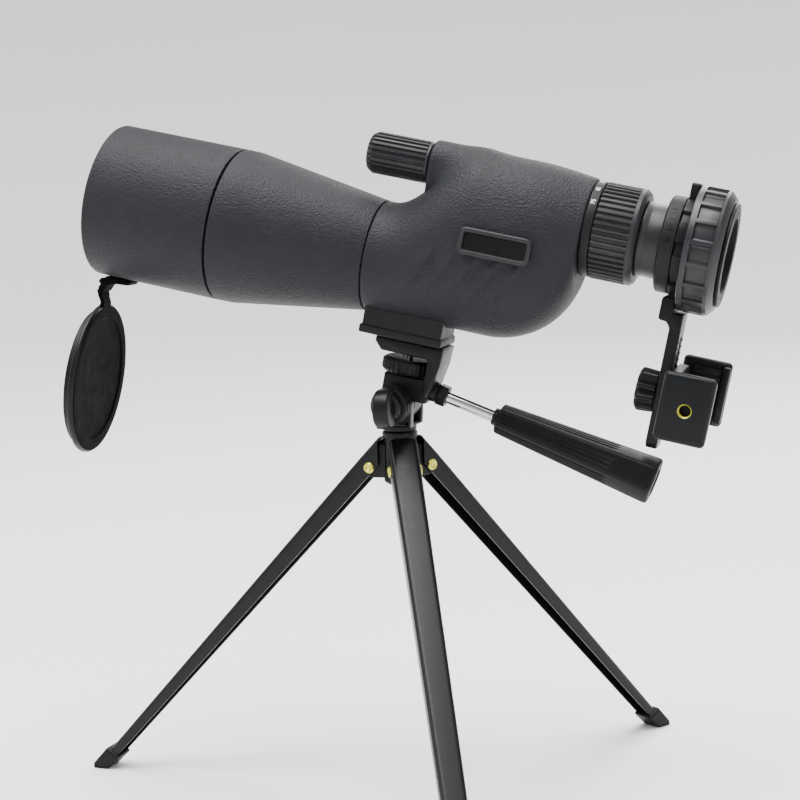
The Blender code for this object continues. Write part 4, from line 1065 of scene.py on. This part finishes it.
def build_hub():
    """The hub: a round core with a collar on top and a filleted tongue for each leg."""
    low, high = span("hub", STAND)
    core_r = 8.8
    outline = [(high.z, 0, 0), (high.z, core_r, 1.0), (high.z - 3.2, core_r, 0.5),
               (high.z - 3.7, core_r - 0.5, 0.3), (low.z + 1.5, core_r - 0.4, 1.0),
               (low.z, core_r - 2.0, 0.8), (low.z, 0, 0)]
    core = turned("hub_core", outline, along_z(STAND))
    tongue = rounded([(-12.5, -5.2, 0.4), (-1.8, -5.2, 3.0), (4.6, -4.4, 4.0), (5.2, 3.6, 4.0),
                      (-4.0, 11.0, 2.0), (-12.5, 11.0, 0.4)], parts=6)
    for side in LEGS:
        merged(core, plate("fin_" + side, [tongue], -5.7, 5.7, leg_frame(side) @ UPRIGHT, 0.5))
    dress(core, "plastic", "hub", "hub")


def leg_frame(side):
    """X points outwards from the hub, Y along the rivet, with the origin on the leg's pivot."""
    joint = JOINTS["leg_%s_fold" % side]
    across = Vector(joint["axis"])
    up = Vector((0, 0, 1))
    return axes(joint["pos_m"], across.cross(up), up)


def leg_section(along, trim=None):
    """One closed U section: outer skin, rolled edges and inner skin, cut back to the hub when trimmed."""
    t = max(along, 0.0) / LEG_LENGTH
    half, web, lip = 7.2 - 1.6 * t, 7.0 - 3.6 * t, -2.7 + 0.7 * t
    sheet = 1.2
    outer = [(-half, lip, 0.4), (-half, web, 2.6), (half, web, 2.6), (half, lip, 0.4)]
    inner = [(half - sheet, lip, 0.4), (half - sheet, web - sheet, 1.6), (-half + sheet, web - sheet, 1.6),
             (-half + sheet, lip, 0.4)]
    down, out = (math.sin(SPLAY), -math.cos(SPLAY)), (math.cos(SPLAY), math.sin(SPLAY))
    section = []
    for side, n, _ in rounded(outer + inner, parts=6):
        reach = along if trim is None else (trim - out[0] * n) / down[0]
        section.append((down[0] * reach + out[0] * n, side, down[1] * reach + out[1] * n))
    return section


def build_leg(side):
    """A rolled channel leg with its rubber boot and zinc rivet."""
    matrix = leg_frame(side)
    body = "leg_" + side
    low, _ = span("leg_" + side, matrix)
    spans = 12
    sections = [leg_section(0.0, low.x)]
    sections += [leg_section((LEG_LENGTH + LEG_IN_FOOT) * i / spans) for i in range(spans + 1)]
    bm = capped(sections)
    bmesh.ops.triangulate(bm, faces=[face for face in bm.faces if len(face.verts) > 4])
    dress(to_object("channel_" + side, bm, matrix, 28), "leg", body, "leg_" + side)
    foot_low, foot_high = span("foot_" + side, matrix)
    sole = foot_low.z
    shape = rounded([(160.0, sole + 12.0, 1.0), (168.8, sole + 2.6, 1.6), (168.8, sole, 0.6),
                     (160.3, sole, 0.6), (152.2, sole + 7.7, 1.0)], 1.0)
    boot = plate("boot_" + side, [shape], foot_low.y, foot_high.y, matrix @ UPRIGHT, 1.4, 5)
    dress(boot, "rubber", body, "foot_" + side)
    head = 7.5
    half = [(0.1, 0), (0.1, 0.9), (0.45, 1.3), (0.8, 1.7), (0.8, 2.1), (0.45, 2.6), (0, 2.8), (0, 1.5)]
    outline = [(head + x, r) for x, r in half] + [(-head - x, r) for x, r in reversed(half)]
    rivet = lathe("zinc_rivet_" + side, outline, along_y(matrix), steps=48)
    dress(rivet, "brass", "hub", "rivet_" + side)


# ---- stage ----

def build_stage():
    """A plain pale floor that sweeps up far behind the object on every side, and soft studio lights."""
    flat_r, sweep_r, steps = 3400, 1200, 96
    profile = [(0, 0), (flat_r, 0)]
    for degrees in range(10, 91, 10):
        a = math.radians(degrees)
        profile.append((flat_r + sweep_r * math.sin(a), sweep_r - sweep_r * math.cos(a)))
    profile.append((flat_r + sweep_r, 1600))
    bm, _ = skin([[(r * math.cos(math.tau * i / steps), r * math.sin(math.tau * i / steps), z)
                   for i in range(steps)] for r, z in profile])
    floor = to_object("studio_floor", bm, Matrix.Identity(4), 60)
    pale = Paint("pale_floor", (0.86, 0.86, 0.86), 0.9)
    pale.vary(pale.noise(900.0), 0.01)
    floor.data.materials.append(pale.material)
    world = bpy.data.worlds.new("studio")
    world.use_nodes = True
    sky = world.node_tree
    direction = sky.nodes.new("ShaderNodeTexCoord")
    height = sky.nodes.new("ShaderNodeSeparateXYZ")
    sky.links.new(direction.outputs["Generated"], height.inputs["Vector"])
    strength = map_range(sky, height.outputs["Z"], 0.55, 3.4, 0.66, 0.92, "SMOOTHSTEP")
    sky.links.new(strength, sky.nodes["Background"].inputs["Strength"])
    sky.nodes["Background"].inputs["Color"].default_value = (1.0, 1.0, 1.0, 1.0)
    bpy.context.scene.world = world
    centre = (CAD_BOX[0] + CAD_BOX[1]) / 2
    for name, spot, size, watts in (("top_light", (-0.15, -0.25, 1.7), 1.3, 70.0),
                                    ("left_light", (-1.5, -0.9, 0.9), 0.9, 14.0),
                                    ("right_light", (1.4, -0.9, 0.8), 0.8, 9.0),
                                    ("back_light", (0.3, 1.6, 1.1), 1.0, 20.0)):
        lamp = bpy.data.lights.new(name, "AREA")
        lamp.size = size
        lamp.energy = watts
        holder = place(name, lamp)
        holder.location = centre + Vector(spot)
        holder.rotation_euler = (-Vector(spot)).to_track_quat("-Z", "Y").to_euler()


def build_camera():
    """The viewing angle: a long lens, a little left of the scope's side and slightly above it."""
    azimuth, elevation, roll = math.radians(16.52), math.radians(7.45), math.radians(1.72)
    distance = 0.8875
    turn = (Matrix.Rotation(azimuth, 4, "Z") @ Matrix.Rotation(math.pi / 2 - elevation, 4, "X")
            @ Matrix.Rotation(-roll, 4, "Z"))
    target = Vector((PAN_POINT.x + 0.00057, PAN_POINT.y, 0.2046))
    matrix = Matrix.Translation(target) @ turn @ Matrix.Translation((0, 0, distance))
    data = bpy.data.cameras.new("camera")
    data.lens = 80.9
    data.sensor_width = 36.0
    data.clip_end = 50.0
    bpy.context.scene.camera = place("camera", data, matrix)


def paint_inner_nodes():
    """The CAD nodes that stay as they are get their finish here."""
    kept = {"glass": ("objective_crown", "objective_flint", "focus_lens", "prism_lower", "prism_upper",
                      "field_lens", "zoom_lens", "eye_lens"),
            "dark": ("objective_ring", "focus_cell", "prism_plate", "zoom_cell"),
            "chrome": ("focus_rod", "guide_rod_upper", "guide_rod_lower"), "brass": ("foot_bush",)}
    for paint, nodes in kept.items():
        for node in nodes:
            NODES[node].data.materials.clear()
            NODES[node].data.materials.append(PAINTS[paint])


paint_inner_nodes()
build_hood()
build_cone()
build_shell()
build_badge()
build_focus_knob()
build_zoom()
build_eyepiece()
build_mount_foot()
build_cap()
build_collar()
build_arm()
build_ring_nut()
build_lock_knob()
build_clamp()
build_bracket()
build_wheel()
build_yoke()
build_tilt_knob()
build_handle()
build_hub()
for leg_side in LEGS:
    build_leg(leg_side)
build_stage()
build_camera()
